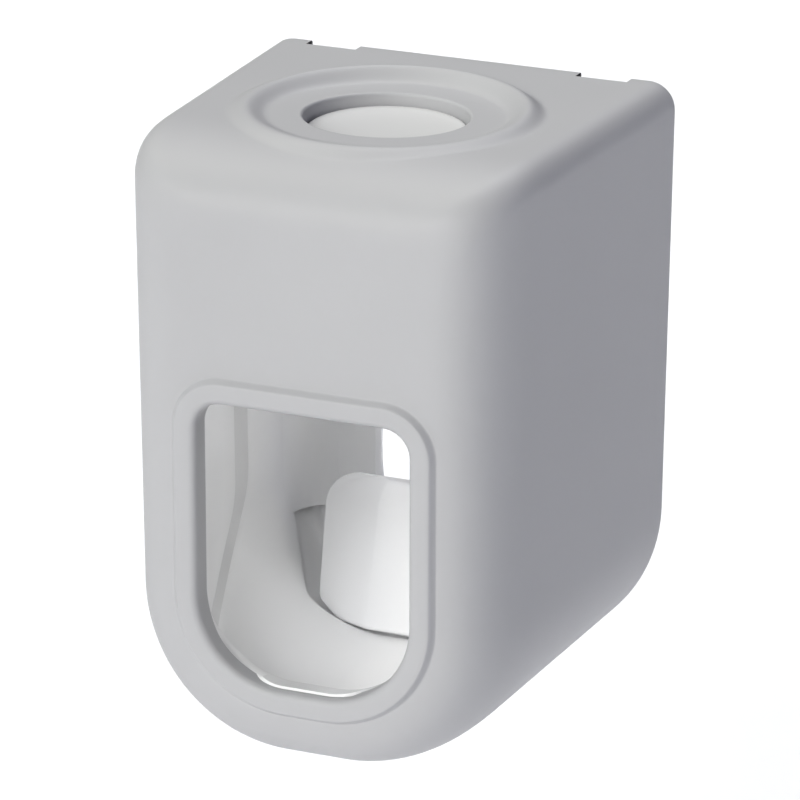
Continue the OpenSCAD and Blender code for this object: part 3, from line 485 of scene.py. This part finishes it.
def make_shell():
    grid = Grid()
    rings, rows = body_rings(grid, 0.0)
    hole_edge = top_patch(grid, rings, rows, 0.0)
    edge = window_edge(grid, front_face(grid, rings[-1], window_points(BEAD_W), N_FACE, 0.0))
    # The inside shares the points' list, and its faces are turned over
    inner = Grid()
    inner.verts = grid.verts
    in_rings, in_rows = body_rings(inner, WALL)
    in_hole = top_patch(inner, in_rings, in_rows, WALL)
    in_edge = front_face(inner, in_rings[-1], window_points(TURN_IN_T), N_FACE_IN, WALL)
    grid.faces.extend(tuple(reversed(f)) for f in inner.faces)
    grid.bridge(edge, in_edge)
    grid.bridge(hole_edge, in_hole)
    # The rear rim, its edges rounded
    steps = [(a, RIM_EDGE_R * (1 - math.cos(a))) for a in np.radians([30, 60, 90])]
    steps += [(a, WALL - inset) for a, inset in reversed(steps)]
    last = rings[0]
    for a, skin in steps:
        last = grid.follow(last, section(RIM_GAP + RIM_EDGE_R * (1 - math.sin(a)), skin), flip=True)
    grid.bridge(in_rings[0], last)
    return grid


def revolve(grid, profile, centre, n, axis="z"):
    """Turns points (radius, place along the axis) about an axis through the centre."""
    turn = np.radians(np.linspace(0, 360, n, endpoint=False))
    rings = []
    for r, h in profile:
        u, v = r * np.cos(turn), r * np.sin(turn)
        along = np.full(n, h)
        p = (u, v, along) if axis == "z" else (along, u, v)
        rings.append(grid.ring(np.stack(p, 1) + np.array(centre)))
    for a, b in zip(rings, rings[1:]):
        grid.bridge(a, b)
    return rings


def prism(grid, profile, half_w, bevel):
    """A side profile (depth, height), drawn across from -half_w to half_w with bevelled edges."""
    p = np.array(profile, float)
    a, b = p - np.roll(p, 1, 0), np.roll(p, -1, 0) - p
    a /= np.linalg.norm(a, axis=1)[:, None]
    b /= np.linalg.norm(b, axis=1)[:, None]
    # Each corner moves along its mitre, which a sharp corner would make very long
    mitre = np.stack([a[:, 1] + b[:, 1], -a[:, 0] - b[:, 0]], 1)
    mitre /= np.maximum(0.3, 1 + (a * b).sum(1))[:, None]
    area = (p[:, 0] * np.roll(p[:, 1], -1) - np.roll(p[:, 0], -1) * p[:, 1]).sum()
    inward = -mitre if area > 0 else mitre
    turns = np.radians([0, 30, 60, 90])
    steps = [(-half_w + bevel * (1 - math.cos(t)), bevel * (1 - math.sin(t))) for t in turns]
    steps += [(-x, inset) for x, inset in reversed(steps)]
    rings = []
    for x, inset in steps:
        q = p + inward * inset
        rings.append(grid.ring(np.stack([np.full(len(q), x), q[:, 0], q[:, 1]], 1)))
    grid.solid(rings)


class Trough:
    """Columns of the liner, from the left cheek's top over the floor to the right cheek's top.

    A column's kind is 0 on a cheek, 1 on the corner above the pocket, 2 on the corner in the
    pocket and 3 on the floor; its share runs from 0 to 1 over that part.
    """

    def __init__(self):
        side, upper, lower, floor = 22, 12, 34, 12
        kinds = [(0, s) for s in np.linspace(0, 1, side, endpoint=False)]
        kinds += [(1, s) for s in np.linspace(0, 1, upper)]
        # The pocket's first two columns lie close together, for a crisp edge
        kinds += [(2, s) for s in np.concatenate([[0.0], np.linspace(0.012, 1, lower)[:-1]])]
        kinds += [(3, s) for s in np.linspace(0, 1, floor)]
        kind, share = np.array([k for k, _ in kinds]), np.array([s for _, s in kinds])
        self.kind = np.concatenate([kind, kind[-2::-1]])
        self.share = np.concatenate([share, share[-2::-1]])
        self.side = np.concatenate([np.full(len(kind), -1.0), np.full(len(kind) - 1, 1.0)])
        self.count = len(self.kind)
        self.in_well = self.kind >= 2
        self.flat = [self.kind == 0, self.kind == 3]

    def place(self, d, skin, extra=0.0, top=LINER_TOP):
        """One row of points at a depth, a skin inside the body."""
        d, skin = np.broadcast_to(d, self.count), np.broadcast_to(skin, self.count)
        f = (d - RIM_GAP) / BODY_D
        inset = skin + extra
        half_w, floor = BODY_W / 2 - FRONT_NARROWING * f - inset, BOTTOM_RISE * f + inset
        r = np.maximum(LEAST_LOWER_R, BOTTOM_CORNER_R - inset)
        zc, xc = floor + r, half_w - r
        turn = np.arcsin(np.clip((zc - WELL_TOP) / r, 0, 1))
        in_pocket = turn + (math.pi / 2 - turn) * self.share
        angle = np.where(self.kind == 1, turn * self.share, in_pocket)
        x = np.select(self.flat, [half_w, xc * (1 - self.share)], xc + r * np.cos(angle))
        z = np.select(self.flat, [top + (zc - top) * self.share, floor], zc - r * np.sin(angle))
        return np.stack([self.side * x * side_scale(z), d, z], 1)

    def step(self):
        """Depth of the step's middle and its height in each column."""
        z = self.place(STEP_READ, LINER_IN)[:, 2]
        rise = CHEEK_STEP * smooth((z - STEP_FADE0) / (STEP_FADE1 - STEP_FADE0))
        swing = STEP_SWING * np.maximum(0, STEP_TURN - z) ** STEP_SWING_POWER
        return np.minimum(STEP_DEPTH + swing, STEP_FRONT), rise

    def well_depth(self):
        """Depth of the pocket's front edge in each column, found by repeated halving of the error."""
        d = np.full(self.count, 15.0)
        for _ in range(30):
            x = np.abs(self.place(d, LINER_IN)[:, 0])
            line = WELL_FRONT - (x - WELL_X0) / (WELL_X1 - WELL_X0) * (WELL_FRONT - WELL_REAR)
            d = (d + np.clip(line, WELL_REAR, WELL_FLOOR_FRONT)) / 2
        return d


def round_inset(d, skin):
    """Extra inset of the front rounding at a depth, and the rounding's angle there."""
    u, turn = round_turn(d, skin)
    return turn * (ROUND_IN - skin), np.arcsin(u ** (ROUND_POWER / 2))


def liner_inside(t):
    """Rows of the liner's inner surface from the rear to the front, and the painted shade of the first
    ones.
    """
    well_end, (step, rise) = t.well_depth(), t.step()
    skin_rear = LINER_IN - np.where(t.in_well, WELL_DEEP, 0.0)
    rear = np.where(t.in_well, PANEL_FRONT - WELL_DEEP, PANEL_FRONT)
    fillet = np.where(t.in_well, WELL_FILLET, REAR_FILLET)
    rows = []
    for i, a in enumerate(np.radians(np.linspace(90, 0, 9))):
        rows.append(t.place(rear + fillet * (1 - math.sin(a)), skin_rear, fillet * (1 - math.cos(a)),
                            PANEL_TOP if i == 0 else LINER_TOP))
    # The pocket and its edge
    behind = np.maximum(well_end, PANEL_FRONT + REAR_FILLET + WELL_CLEAR)
    border = np.where(t.in_well, well_end, behind)
    start = rear + fillet
    for s in np.linspace(0, 1, 7)[1:]:
        rows.append(t.place(lerp(start, border - WELL_EDGE, s), skin_rear))
    for s in (0.25, 0.5, 0.75, 1.0):
        rows.append(t.place(border - WELL_EDGE * (1 - s), lerp(skin_rear, LINER_IN, smooth(s))))
    for s in np.linspace(0, 1, 9)[1:]:
        rows.append(t.place(lerp(border, step - STEP_RUN / 2, s), LINER_IN))
    # The step: a real shallow step, whose colour is also darkened with painted shade
    painted_shades = [np.zeros(t.count)] * len(rows)
    shares = [0.01, STEP_PAINTED_SHADE_EDGE] + list(np.linspace(0.1, 0.9, 9)) + [1 - STEP_PAINTED_SHADE_EDGE, 1.0]
    for s in shares:
        d, skin = step + STEP_RUN * (s - 0.5), LINER_IN + rise * s
        rows.append(t.place(d, skin, round_inset(d, skin)[0]))
        # Painted shade: the step's colour is darkened fully between its crisp edges, less where the step
        # fades out
        dark = min(1.0, s / STEP_PAINTED_SHADE_EDGE, (1 - s) / STEP_PAINTED_SHADE_EDGE)
        painted_shades.append(STEP_PAINTED_SHADE * dark * rise / CHEEK_STEP)
    # In front of the step; no two rows fall together where the step reaches the rounding
    skin = LINER_IN + rise
    end = step + STEP_RUN / 2
    for s in np.linspace(0, 1, 4)[1:]:
        d = lerp(end, np.maximum(end, D_FRONT - ROUND_DEEP), s) + 0.02 * s
        rows.append(t.place(d, skin, round_inset(d, skin)[0]))
    start = round_inset(d, skin)[1]
    for s in np.linspace(0, 1, LINER_ROUND_ROWS)[1:]:
        d, extra, _ = rounding(lerp(start, math.radians(LINER_TURN), s), skin)
        rows.append(t.place(d, skin, extra))
    return rows, painted_shades


def liner_outside(t, count):
    """As many rows of the liner's outer surface."""
    straight = np.linspace(PANEL_REAR, D_FRONT - ROUND_DEEP, count - LINER_ROUND_ROWS + 1)
    rows = [t.place(d, LINER_OUT, 0, PANEL_TOP if i == 0 else LINER_TOP) for i, d in enumerate(straight)]
    for a in np.radians(np.linspace(0, LINER_TURN, LINER_ROUND_ROWS)[1:]):
        d, extra, _ = rounding(a, LINER_OUT)
        rows.append(t.place(d, LINER_OUT, extra))
    return rows


def window_arc(t):
    """How far each column has turned round the window's lower corner, in degrees."""
    turns = [t.share * UPPER_ARC, UPPER_ARC + t.share * (90 - UPPER_ARC), 90]
    return np.select([t.kind == 1, t.kind == 2, t.kind == 3], turns, 0)


def window_trough(t, back):
    """A line round the window with the columns of the trough, a distance back from its edge."""
    zc, xc = WINDOW_SILL + WINDOW_LOWER_R, WINDOW_HALF_W - WINDOW_LOWER_R
    arc, r = np.radians(window_arc(t)), WINDOW_LOWER_R + back
    x = np.select(t.flat, [xc + r, xc * (1 - t.share)], xc + r * np.cos(arc))
    z = np.where(t.kind == 0, LINER_TOP + (zc - LINER_TOP) * t.share, zc - r * np.sin(arc))
    return t.side * x + WINDOW_SHIFT, z


def liner_front(grid, t, inside, outside):
    """The liner's front edge round the window, and the lip over the sill."""
    arc = window_arc(t)
    back = lerp(LINER_FRONT_BACK, LINER_SILL_DROP, smooth((arc - DROP_FROM) / DROP_FADE))
    forward = smooth((arc - LIP_FROM) / (LIP_TO - LIP_FROM))
    x, z = window_trough(t, back)
    lips = []
    for rows, skin, lip in ((inside, LINER_IN, -LIP_GAP - LIP_T), (outside, LINER_OUT, -LIP_GAP)):
        flip = rows is inside
        last = rows[-1]
        flat = grid.points(last)
        for s in (0.5, 1.0):
            px, pz = lerp(flat[:, 0], x, s), lerp(flat[:, 2], z, s)
            edge = front_depth(px, pz, skin)
            last = grid.follow(last, np.stack([px, edge, pz], 1), flip, False)
        rows.append(last)
        # The lip runs forward over the sill, clear of the shell
        for s in (0.15, 1.0):
            lx, lz = window_trough(t, lerp(back, lip, forward * s))
            d = lerp(edge + 0.05 * s, D_FRONT - LIP_BACK, forward * s)
            last = grid.follow(last, np.stack([lx, d, lz], 1), flip, False)
        lips.append(last)
    grid.bridge(lips[1], lips[0], closed=False)


def make_liner():
    """The liner's grid and the painted shade of its points."""
    grid, t = Grid(), Trough()
    rows, painted_shades = liner_inside(t)
    inside = [grid.ring(r) for r in rows]
    outside = [grid.ring(r) for r in liner_outside(t, len(inside))]
    for a, b in zip(inside, inside[1:]):
        grid.bridge(b, a, closed=False)
    for a, b in zip(outside, outside[1:]):
        grid.bridge(a, b, closed=False)
    liner_front(grid, t, inside, outside)
    # Upper edges of both cheeks
    for j in (0, t.count - 1):
        a, b = np.array([r[j] for r in inside]), np.array([r[j] for r in outside])
        grid.bridge(*((a, b) if j else (b, a)), closed=False)
    rear_panel(grid, t, inside[0], outside[0])
    # Screw bosses, from the bottom of the screw hole over the top to the lower end
    r, top, low = LINER_BOSS_R, LINER_TOP, LINER_BOSS_Z
    boss = [(AXIS_R, low + BOSS_END_T), (SCREW_R, low + BOSS_END_T), (SCREW_R, top), (r - BOSS_EDGE, top),
            (r, top - BOSS_EDGE), (r, low + BOSS_TIP_EDGE), (r - BOSS_TIP_EDGE, low), (AXIS_R, low)]
    for side in (-1, 1):
        revolve(grid, boss[::-1], (side * LINER_BOSS_X, LINER_BOSS_D, 0), 32)
    painted_shade = np.concatenate(painted_shades)
    return grid, np.pad(painted_shade, (0, len(grid.verts) - len(painted_shade)))


def rear_opening(angle, grow):
    """Points of the rear opening's rounded edge, grown by a margin, at angles seen from its centre."""
    half_w, z0, z1, r = REAR_OPEN
    a, b, rr = half_w + grow, (z1 - z0) / 2 + grow, r + grow
    lo, hi = np.zeros(len(angle)), np.full(len(angle), REAR_REACH)
    for _ in range(HALVINGS):
        m = (lo + hi) / 2
        out = outside_corner(np.abs(m * np.cos(angle)) - (a - rr), np.abs(m * np.sin(angle)) - (b - rr), rr)
        lo, hi = np.where(out < 0, m, lo), np.where(out < 0, hi, m)
    return lo * np.cos(angle), (z0 + z1) / 2 + lo * np.sin(angle)


def rear_panel(grid, t, inner, outer):
    """The panel behind; both faces run from the trough's first rows to the opening."""
    loops = []
    for row, d in ((inner, PANEL_FRONT), (outer, PANEL_REAR)):
        x = np.linspace(grid.verts[row[-1]][0], grid.verts[row[0]][0], REAR_COLUMNS + 2)[1:-1]
        top = grid.ring(flat_ring(np.stack([x, np.full(REAR_COLUMNS, PANEL_TOP)], 1), d))
        loops.append(np.concatenate([row, top]))
    ends = [np.concatenate([[loop[t.count - 1]], loop[t.count:], [loop[0]]]) for loop in loops]
    grid.bridge(ends[0], ends[1], closed=False)
    middle = (REAR_OPEN[1] + REAR_OPEN[2]) / 2
    rims = []
    for last, face, sign in ((loops[0], PANEL_FRONT, 1), (loops[1], PANEL_REAR, -1)):
        p = grid.points(last)
        angle = np.arctan2(p[:, 2] - middle, p[:, 0])
        rows = ((REAR_BAND, lerp(p[:, 1], face, 0.8)), (REAR_BEVEL, face), (0.0, face - sign * REAR_BEVEL))
        for grow, d in rows:
            x, z = rear_opening(angle, grow)
            last = grid.follow(last, flat_ring(np.stack([x, z], 1), d), flip=sign > 0)
        rims.append(last)
    grid.bridge(rims[0], rims[1])


def arch(u):
    """Fall of a quarter circle: 0 at 0 and 1 at 1."""
    return 1 - math.sqrt(max(0.0, 1 - u * u))


def pad_rise(z):
    """Share of the pad's height at a height, from its foot to its brow."""
    return (z - PAD_Z0) / (PAD_Z1 - PAD_BROW - PAD_Z0)


def pad_half(z):
    """Half the pad's width at a height, kept inside the pocket."""
    u = max(0.0, (z - PAD_Z1 + PAD_CORNER_R) / PAD_CORNER_R)
    straight = PAD_W / 2 + PAD_SPREAD * min(1.0, pad_rise(z))
    skin = LINER_IN - WELL_DEEP
    r = BOTTOM_CORNER_R - skin
    low = max(0.0, skin + r - z)
    side = BODY_W / 2 - FRONT_NARROWING / 2 - LOWER_NARROWING - skin
    well = side - r + math.sqrt(max(0.0, r * r - low * low))
    return min(straight - PAD_CORNER_R * arch(u), well - PAD_GAP)


def pad_loop(z, cavity):
    """One level of the pad: across the front from left to right, then back along the rear."""
    half_w, front = pad_half(z), PAD_FRONT + PAD_LEAN * (1 - pad_rise(z))
    rear = front - PAD_DEPTH
    up = max(0.0, (z - PAD_Z1 + PAD_BROW) / PAD_BROW)
    low = max(0.0, (PAD_Z0 + PAD_FOOT - z) / PAD_FOOT)
    share = 1 - PAD_BROW_BACK * arch(up) - PAD_BROW_CREASE * up - PAD_FOOT_BACK * arch(low)
    depth = max(PAD_LEAST, PAD_DEPTH * share)
    fall = PAD_FOOT_FALL + (PAD_SIDE_FALL - PAD_FOOT_FALL) * min(1.0, pad_rise(z))

    def face(x):
        off = np.clip((np.abs(x) - PAD_FLAT) / max(1.0, half_w - PAD_FLAT), 0, 1)
        return rear + np.maximum(PAD_SIDE_LEAST, depth - fall * off ** PAD_SIDE_POWER)

    edge_r = min(PAD_EDGE_R, PAD_EDGE_R * float(face(np.array([half_w]))[0] - rear))
    x = np.concatenate([np.linspace(0, PAD_FLAT - PAD_CREASE_BAND, 10),
                        np.linspace(PAD_FLAT + PAD_CREASE_BAND, half_w - edge_r, 15)])
    x = np.concatenate([-x[::-1], x[1:]])
    front_path = np.stack([x, face(x)], 1)
    turn = np.radians(np.linspace(0, 90, 6))[1:]
    d_edge = front_path[-1, 1]
    right = np.stack([half_w - edge_r + edge_r * np.sin(turn), d_edge - edge_r * (1 - np.cos(turn))], 1)
    left = right[::-1] * [-1, 1]
    wall = [[half_w, rear + edge_r], [half_w - edge_r, rear]]
    wall_left = [[-half_w + edge_r, rear], [-half_w, rear + edge_r]]
    back = np.linspace(1, -1, N_PAD_BACK)[1:-1]
    if cavity:
        bx = (half_w - PAD_WALL) * np.clip(back * HOLLOW_SPREAD, -1, 1)
        bd = np.where(np.abs(back) > HOLLOW_END, rear, np.maximum(rear, face(bx) - PAD_WALL))
    else:
        bx, bd = back * (half_w - 2 * edge_r), np.full(len(back), rear)
    path = np.concatenate([wall_left, left, front_path, right, wall, np.stack([bx, bd], 1)])
    return flat_ring(np.stack([path[:, 0], np.full(len(path), z)], 1), path[:, 1])


def round_bar(r, half_w, inner):
    """Profile of a bar with chamfered ends, from one end to the other."""
    e = ROUND_EDGE
    return [(inner, -half_w), (r - e, -half_w), (r, e - half_w), (r, half_w - e), (r - e, half_w),
            (inner, half_w)]


def make_lever():
    grid = Grid()
    hollow_low, hollow_high = PAD_Z0 + PAD_WALL, PAD_Z1 - PAD_CORNER_R
    foot, brow = np.radians(np.linspace(0, 90, 8)), np.radians(np.linspace(0, 86, 24)[1:])
    levels = [(PAD_Z0 + PAD_FOOT * (1 - math.cos(a)), False) for a in foot]
    levels += [(hollow_low, False)]
    levels += [(z, True) for z in np.linspace(hollow_low + 0.02, hollow_high - 0.02, 22)]
    levels += [(hollow_high, False)]
    levels += [(hollow_high + PAD_CORNER_R * math.sin(a), False) for a in brow]
    grid.solid([grid.ring(pad_loop(z, cavity)) for z, cavity in levels])
    # Stem
    front = PIVOT_D - GAP
    rear = front - STEM_T
    z0, z1 = PAD_Z1 - STEM_IN_PAD, PAD_Z1 + STEM_BEND
    stem = [(front + STEM_FORWARD, z0), (front + STEM_FORWARD, z0 + STEM_FOOT_H), (front, z1),
            (front, PIVOT_Z), (rear, PIVOT_Z), (rear, z1 - STEM_BEND_REAR), (rear + STEM_FORWARD, z0)]
    prism(grid, stem, STEM_HALF_W, STEM_BEVEL)
    # Upper arm, hub and nose
    d0, d1 = PIVOT_D - ARM_HALF_T, PIVOT_D + ARM_HALF_T
    prism(grid, [(d1, PIVOT_Z), (d1, ARM_TOP), (d0, ARM_TOP), (d0, PIVOT_Z)], ARM_HALF_W, ARM_BEVEL)
    rings = revolve(grid, round_bar(HUB_R, HUB_HALF_W, HUB_BORE), (0, PIVOT_D, PIVOT_Z), 64, "x")
    grid.bridge(rings[-1], rings[0])
    revolve(grid, round_bar(NOSE_R, NOSE_HALF_W, AXIS_R), (0, PIVOT_D, ARM_TOP), 48, "x")
    return grid


def make_plug():
    grid = Grid()
    turns = np.radians(np.linspace(0, 90, 7))
    dish = [(PLUG_AXIS_R, PLUG_TOP - PLUG_DISH)]
    dish += [(PLUG_R * PLUG_DISH_SHARE * s, PLUG_TOP - PLUG_DISH * (1 - s * s))
             for s in np.linspace(0, 1, 14)[1:]]
    edge = [(PLUG_R - PLUG_EDGE_R + PLUG_EDGE_R * math.sin(a), PLUG_TOP - PLUG_EDGE_R * (1 - math.cos(a)))
            for a in turns]
    skirt = [(PLUG_R, PLUG_FOOT + PLUG_FOOT_EDGE), (PLUG_R - PLUG_FOOT_EDGE, PLUG_FOOT),
             (PLUG_BORE + PLUG_BORE_EDGE, PLUG_FOOT), (PLUG_BORE, PLUG_FOOT + PLUG_BORE_EDGE),
             (PLUG_BORE, PLUG_UNDER), (PLUG_AXIS_R, PLUG_UNDER)]
    revolve(grid, (dish + edge + skirt)[::-1], (0, HOLE_DEPTH, 0), 96)
    return grid


def material(name, color, rough, metallic=0.0, grain_scale=900.0, bump_strength=0.04):
    """A plastic, rubber or metal with a slow drift of colour, a fine grain and a little bump."""
    color_spread, rough_spread = 0.012, 0.04
    mat = bpy.data.materials.new(name)
    mat.use_nodes = True
    nodes, links = mat.node_tree.nodes, mat.node_tree.links
    bsdf = nodes["Principled BSDF"]
    bsdf.inputs["Metallic"].default_value = metallic
    coords = nodes.new("ShaderNodeTexCoord")
    grain = nodes.new("ShaderNodeTexNoise")
    grain.inputs["Scale"].default_value = grain_scale
    grain.inputs["Detail"].default_value = 3.0
    links.new(coords.outputs["Object"], grain.inputs["Vector"])
    drift = nodes.new("ShaderNodeTexNoise")
    drift.inputs["Scale"].default_value = 25.0
    links.new(coords.outputs["Object"], drift.inputs["Vector"])
    ramp = nodes.new("ShaderNodeValToRGB")
    dark, light = ramp.color_ramp.elements
    dark.position, light.position = 0.35, 0.65
    dark.color = [c * (1 - color_spread) for c in color] + [1]
    light.color = [min(1, c * (1 + color_spread)) for c in color] + [1]
    links.new(drift.outputs["Fac"], ramp.inputs["Fac"])
    # Painted shade: points that carry a share of it are darker by that share
    painted_shade = nodes.new("ShaderNodeAttribute")
    painted_shade.attribute_name = "painted_shade"
    darken = nodes.new("ShaderNodeMix")
    darken.data_type = "RGBA"
    darken.inputs["B"].default_value = (0, 0, 0, 1)
    links.new(painted_shade.outputs["Fac"], darken.inputs["Factor"])
    links.new(ramp.outputs["Color"], darken.inputs["A"])
    links.new(darken.outputs["Result"], bsdf.inputs["Base Color"])
    rng = nodes.new("ShaderNodeMapRange")
    rng.inputs["To Min"].default_value = rough - rough_spread
    rng.inputs["To Max"].default_value = rough + rough_spread
    links.new(grain.outputs["Fac"], rng.inputs["Value"])
    links.new(rng.outputs["Result"], bsdf.inputs["Roughness"])
    bump = nodes.new("ShaderNodeBump")
    bump.inputs["Strength"].default_value = bump_strength
    bump.inputs["Distance"].default_value = 0.0001
    links.new(grain.outputs["Fac"], bump.inputs["Height"])
    links.new(bump.outputs["Normal"], bsdf.inputs["Normal"])
    return mat


MATERIALS = {
    "shell_plastic": material("shell_plastic", (0.405, 0.405, 0.415), 0.55, grain_scale=2500.0,
                              bump_strength=0.08),
    "white_plastic": material("white_plastic", (0.88, 0.88, 0.88), 0.22),
    "pump_plastic": material("pump_plastic", (0.74, 0.75, 0.76), 0.3),
    "plug_plastic": material("plug_plastic", (0.6, 0.6, 0.6), 0.3),
    "plate_plastic": material("plate_plastic", (0.6, 0.6, 0.62), 0.5),
    "soft_rubber": material("soft_rubber", (0.45, 0.46, 0.48), 0.6),
    "steel": material("steel", (0.62, 0.62, 0.64), 0.25, metallic=1.0),
    "adhesive_foam": material("adhesive_foam", (0.8, 0.8, 0.78), 0.9, grain_scale=1500.0,
                              bump_strength=0.4),
}


def box(x, d, z):
    """Corners and outward faces of a box between pairs of limits."""
    corners = [(a, b, c) for a in x for b in d for c in z]
    return corners, [(2, 3, 1, 0), (5, 7, 6, 4), (1, 5, 4, 0), (6, 7, 3, 2), (4, 6, 2, 0), (3, 7, 5, 1)]


def cut_notches(obj):
    """Opens the rear top edge over the frame's two tabs."""
    for side in (-1, 1):
        x = sorted((side * NOTCH_X0, side * NOTCH_X1))
        corners, faces = box(x, (0.0, NOTCH_D), (BODY_H - 2 * WALL, BODY_H + NOTCH_PAST))
        cutter = new_object("notch_cutter", corners, faces)
        cut = obj.modifiers.new("notch", "BOOLEAN")
        cut.object, cut.operation, cut.solver = cutter, "DIFFERENCE", "EXACT"
        bpy.context.view_layer.update()
        mesh = bpy.data.meshes.new_from_object(obj.evaluated_get(bpy.context.evaluated_depsgraph_get()))
        obj.modifiers.clear()
        obj.data = mesh
        bpy.data.objects.remove(cutter)
    shade(obj)


def paint(obj, slot):
    obj.data.materials.clear()
    obj.data.materials.append(MATERIALS[slot])


for sub in frame["record"]["subparts"]:
    obj = frame["nodes"][sub["node"]]
    for s in obj.material_slots:
        s.material = MATERIALS[sub["material_slot"]]
    if not obj.material_slots:
        obj.data.materials.append(MATERIALS[sub["material_slot"]])

shell = mesh_piece("shell_skin", make_shell(), "dispenser", ["outer_shell"])
cut_notches(shell)
paint(shell, "shell_plastic")
# The liner's step carries painted shade, as a darkening of its points
grid, painted_shade = make_liner()
liner = mesh_piece("liner_skin", grid, "dispenser", ["drip_liner"], painted_shade)
paint(liner, "white_plastic")
lever = mesh_piece("lever_skin", make_lever(), "lever", ["push_lever"])
paint(lever, "white_plastic")
plug = mesh_piece("plug_skin", make_plug(), "plug", ["dust_plug"])
paint(plug, "plug_plastic")


def make_camera():
    """The photo's view; the place is in metres, and the camera looks down, turned to the left."""
    data = bpy.data.cameras.new("camera")
    data.sensor_width = 36
    data.lens = 232.56
    data.clip_start, data.clip_end = 0.01, 20
    down, roll, turn = 20.213, -0.099, 22.681
    cam = add_object("camera", data)
    cam.location = (0.2873, -0.7180, 0.2511)
    cam.rotation_mode = "XYZ"
    cam.rotation_euler = (math.radians(90 - down), math.radians(roll), math.radians(turn))
    bpy.context.scene.camera = cam


def make_stage():
    """A floor below the dispenser, with its half width and drop in metres, and a white backdrop."""
    half_w, drop = 3.0, 0.12
    z = FLOOR_Z * MM - drop
    mesh = bpy.data.meshes.new("floor")
    mesh.from_pydata([(-half_w, -half_w, z), (half_w, -half_w, z), (half_w, half_w, z),
                      (-half_w, half_w, z)], [], [(0, 1, 2, 3)])
    floor = add_object("floor", mesh)
    floor.data.materials.append(material("floor_paint", (0.95, 0.95, 0.98), 0.8))
    world = bpy.data.worlds.new("studio")
    bpy.context.scene.world = world
    world.use_nodes = True
    sky = world.node_tree.nodes["Background"]
    sky.inputs["Color"].default_value = (1, 1, 1, 1)
    sky.inputs["Strength"].default_value = 1.0
    # The sky is only a plain backdrop: the lamps and the floor give the light
    world.cycles_visibility.diffuse = False
    world.cycles_visibility.glossy = False


def soft_light(name, azimuth, elevation, share, spread, color):
    """A far light at angles in degrees; the azimuth counts from straight in front to the right.

    The share is what a white face turned to the light gives back.
    """
    data = bpy.data.lights.new(name, "SUN")
    data.energy = share * math.pi
    data.angle = math.radians(spread)
    data.color = color
    obj = add_object(name, data)
    obj.rotation_euler = (math.radians(90 - elevation), 0, math.radians(azimuth))


def room_light(name, x, depth, height, power):
    """A small lamp in the brush room, for the light that bounces about in there."""
    data = bpy.data.lights.new(name, "POINT")
    data.energy = power
    data.shadow_soft_size = 0.006
    obj = add_object(name, data)
    obj.location = (x * MM, -depth * MM, (height + FLOOR_Z) * MM)
    obj.visible_camera = False


make_camera()
make_stage()
# Name, azimuth, elevation, share, spread and colour
soft_light("key", 2, 28, 0.54, 24, (0.97, 0.98, 1.0))
soft_light("key_left", -20, 28, 0.39, 24, (1.0, 0.98, 0.9))
soft_light("left", -70, 45, 0.17, 40, (0.8, 0.9, 1.0))
soft_light("left_rear", -110, 60, 0.28, 40, (1.0, 0.98, 0.85))
soft_light("side", 105, 8, 0.05, 50, (0.05, 0.1, 1.0))
soft_light("rear", 180, 55, 0.5, 40, (0.96, 0.96, 1.0))
room_light("room_fill", 20, 14, 44, 0.0064)
bpy.context.scene.view_settings.view_transform = "Standard"
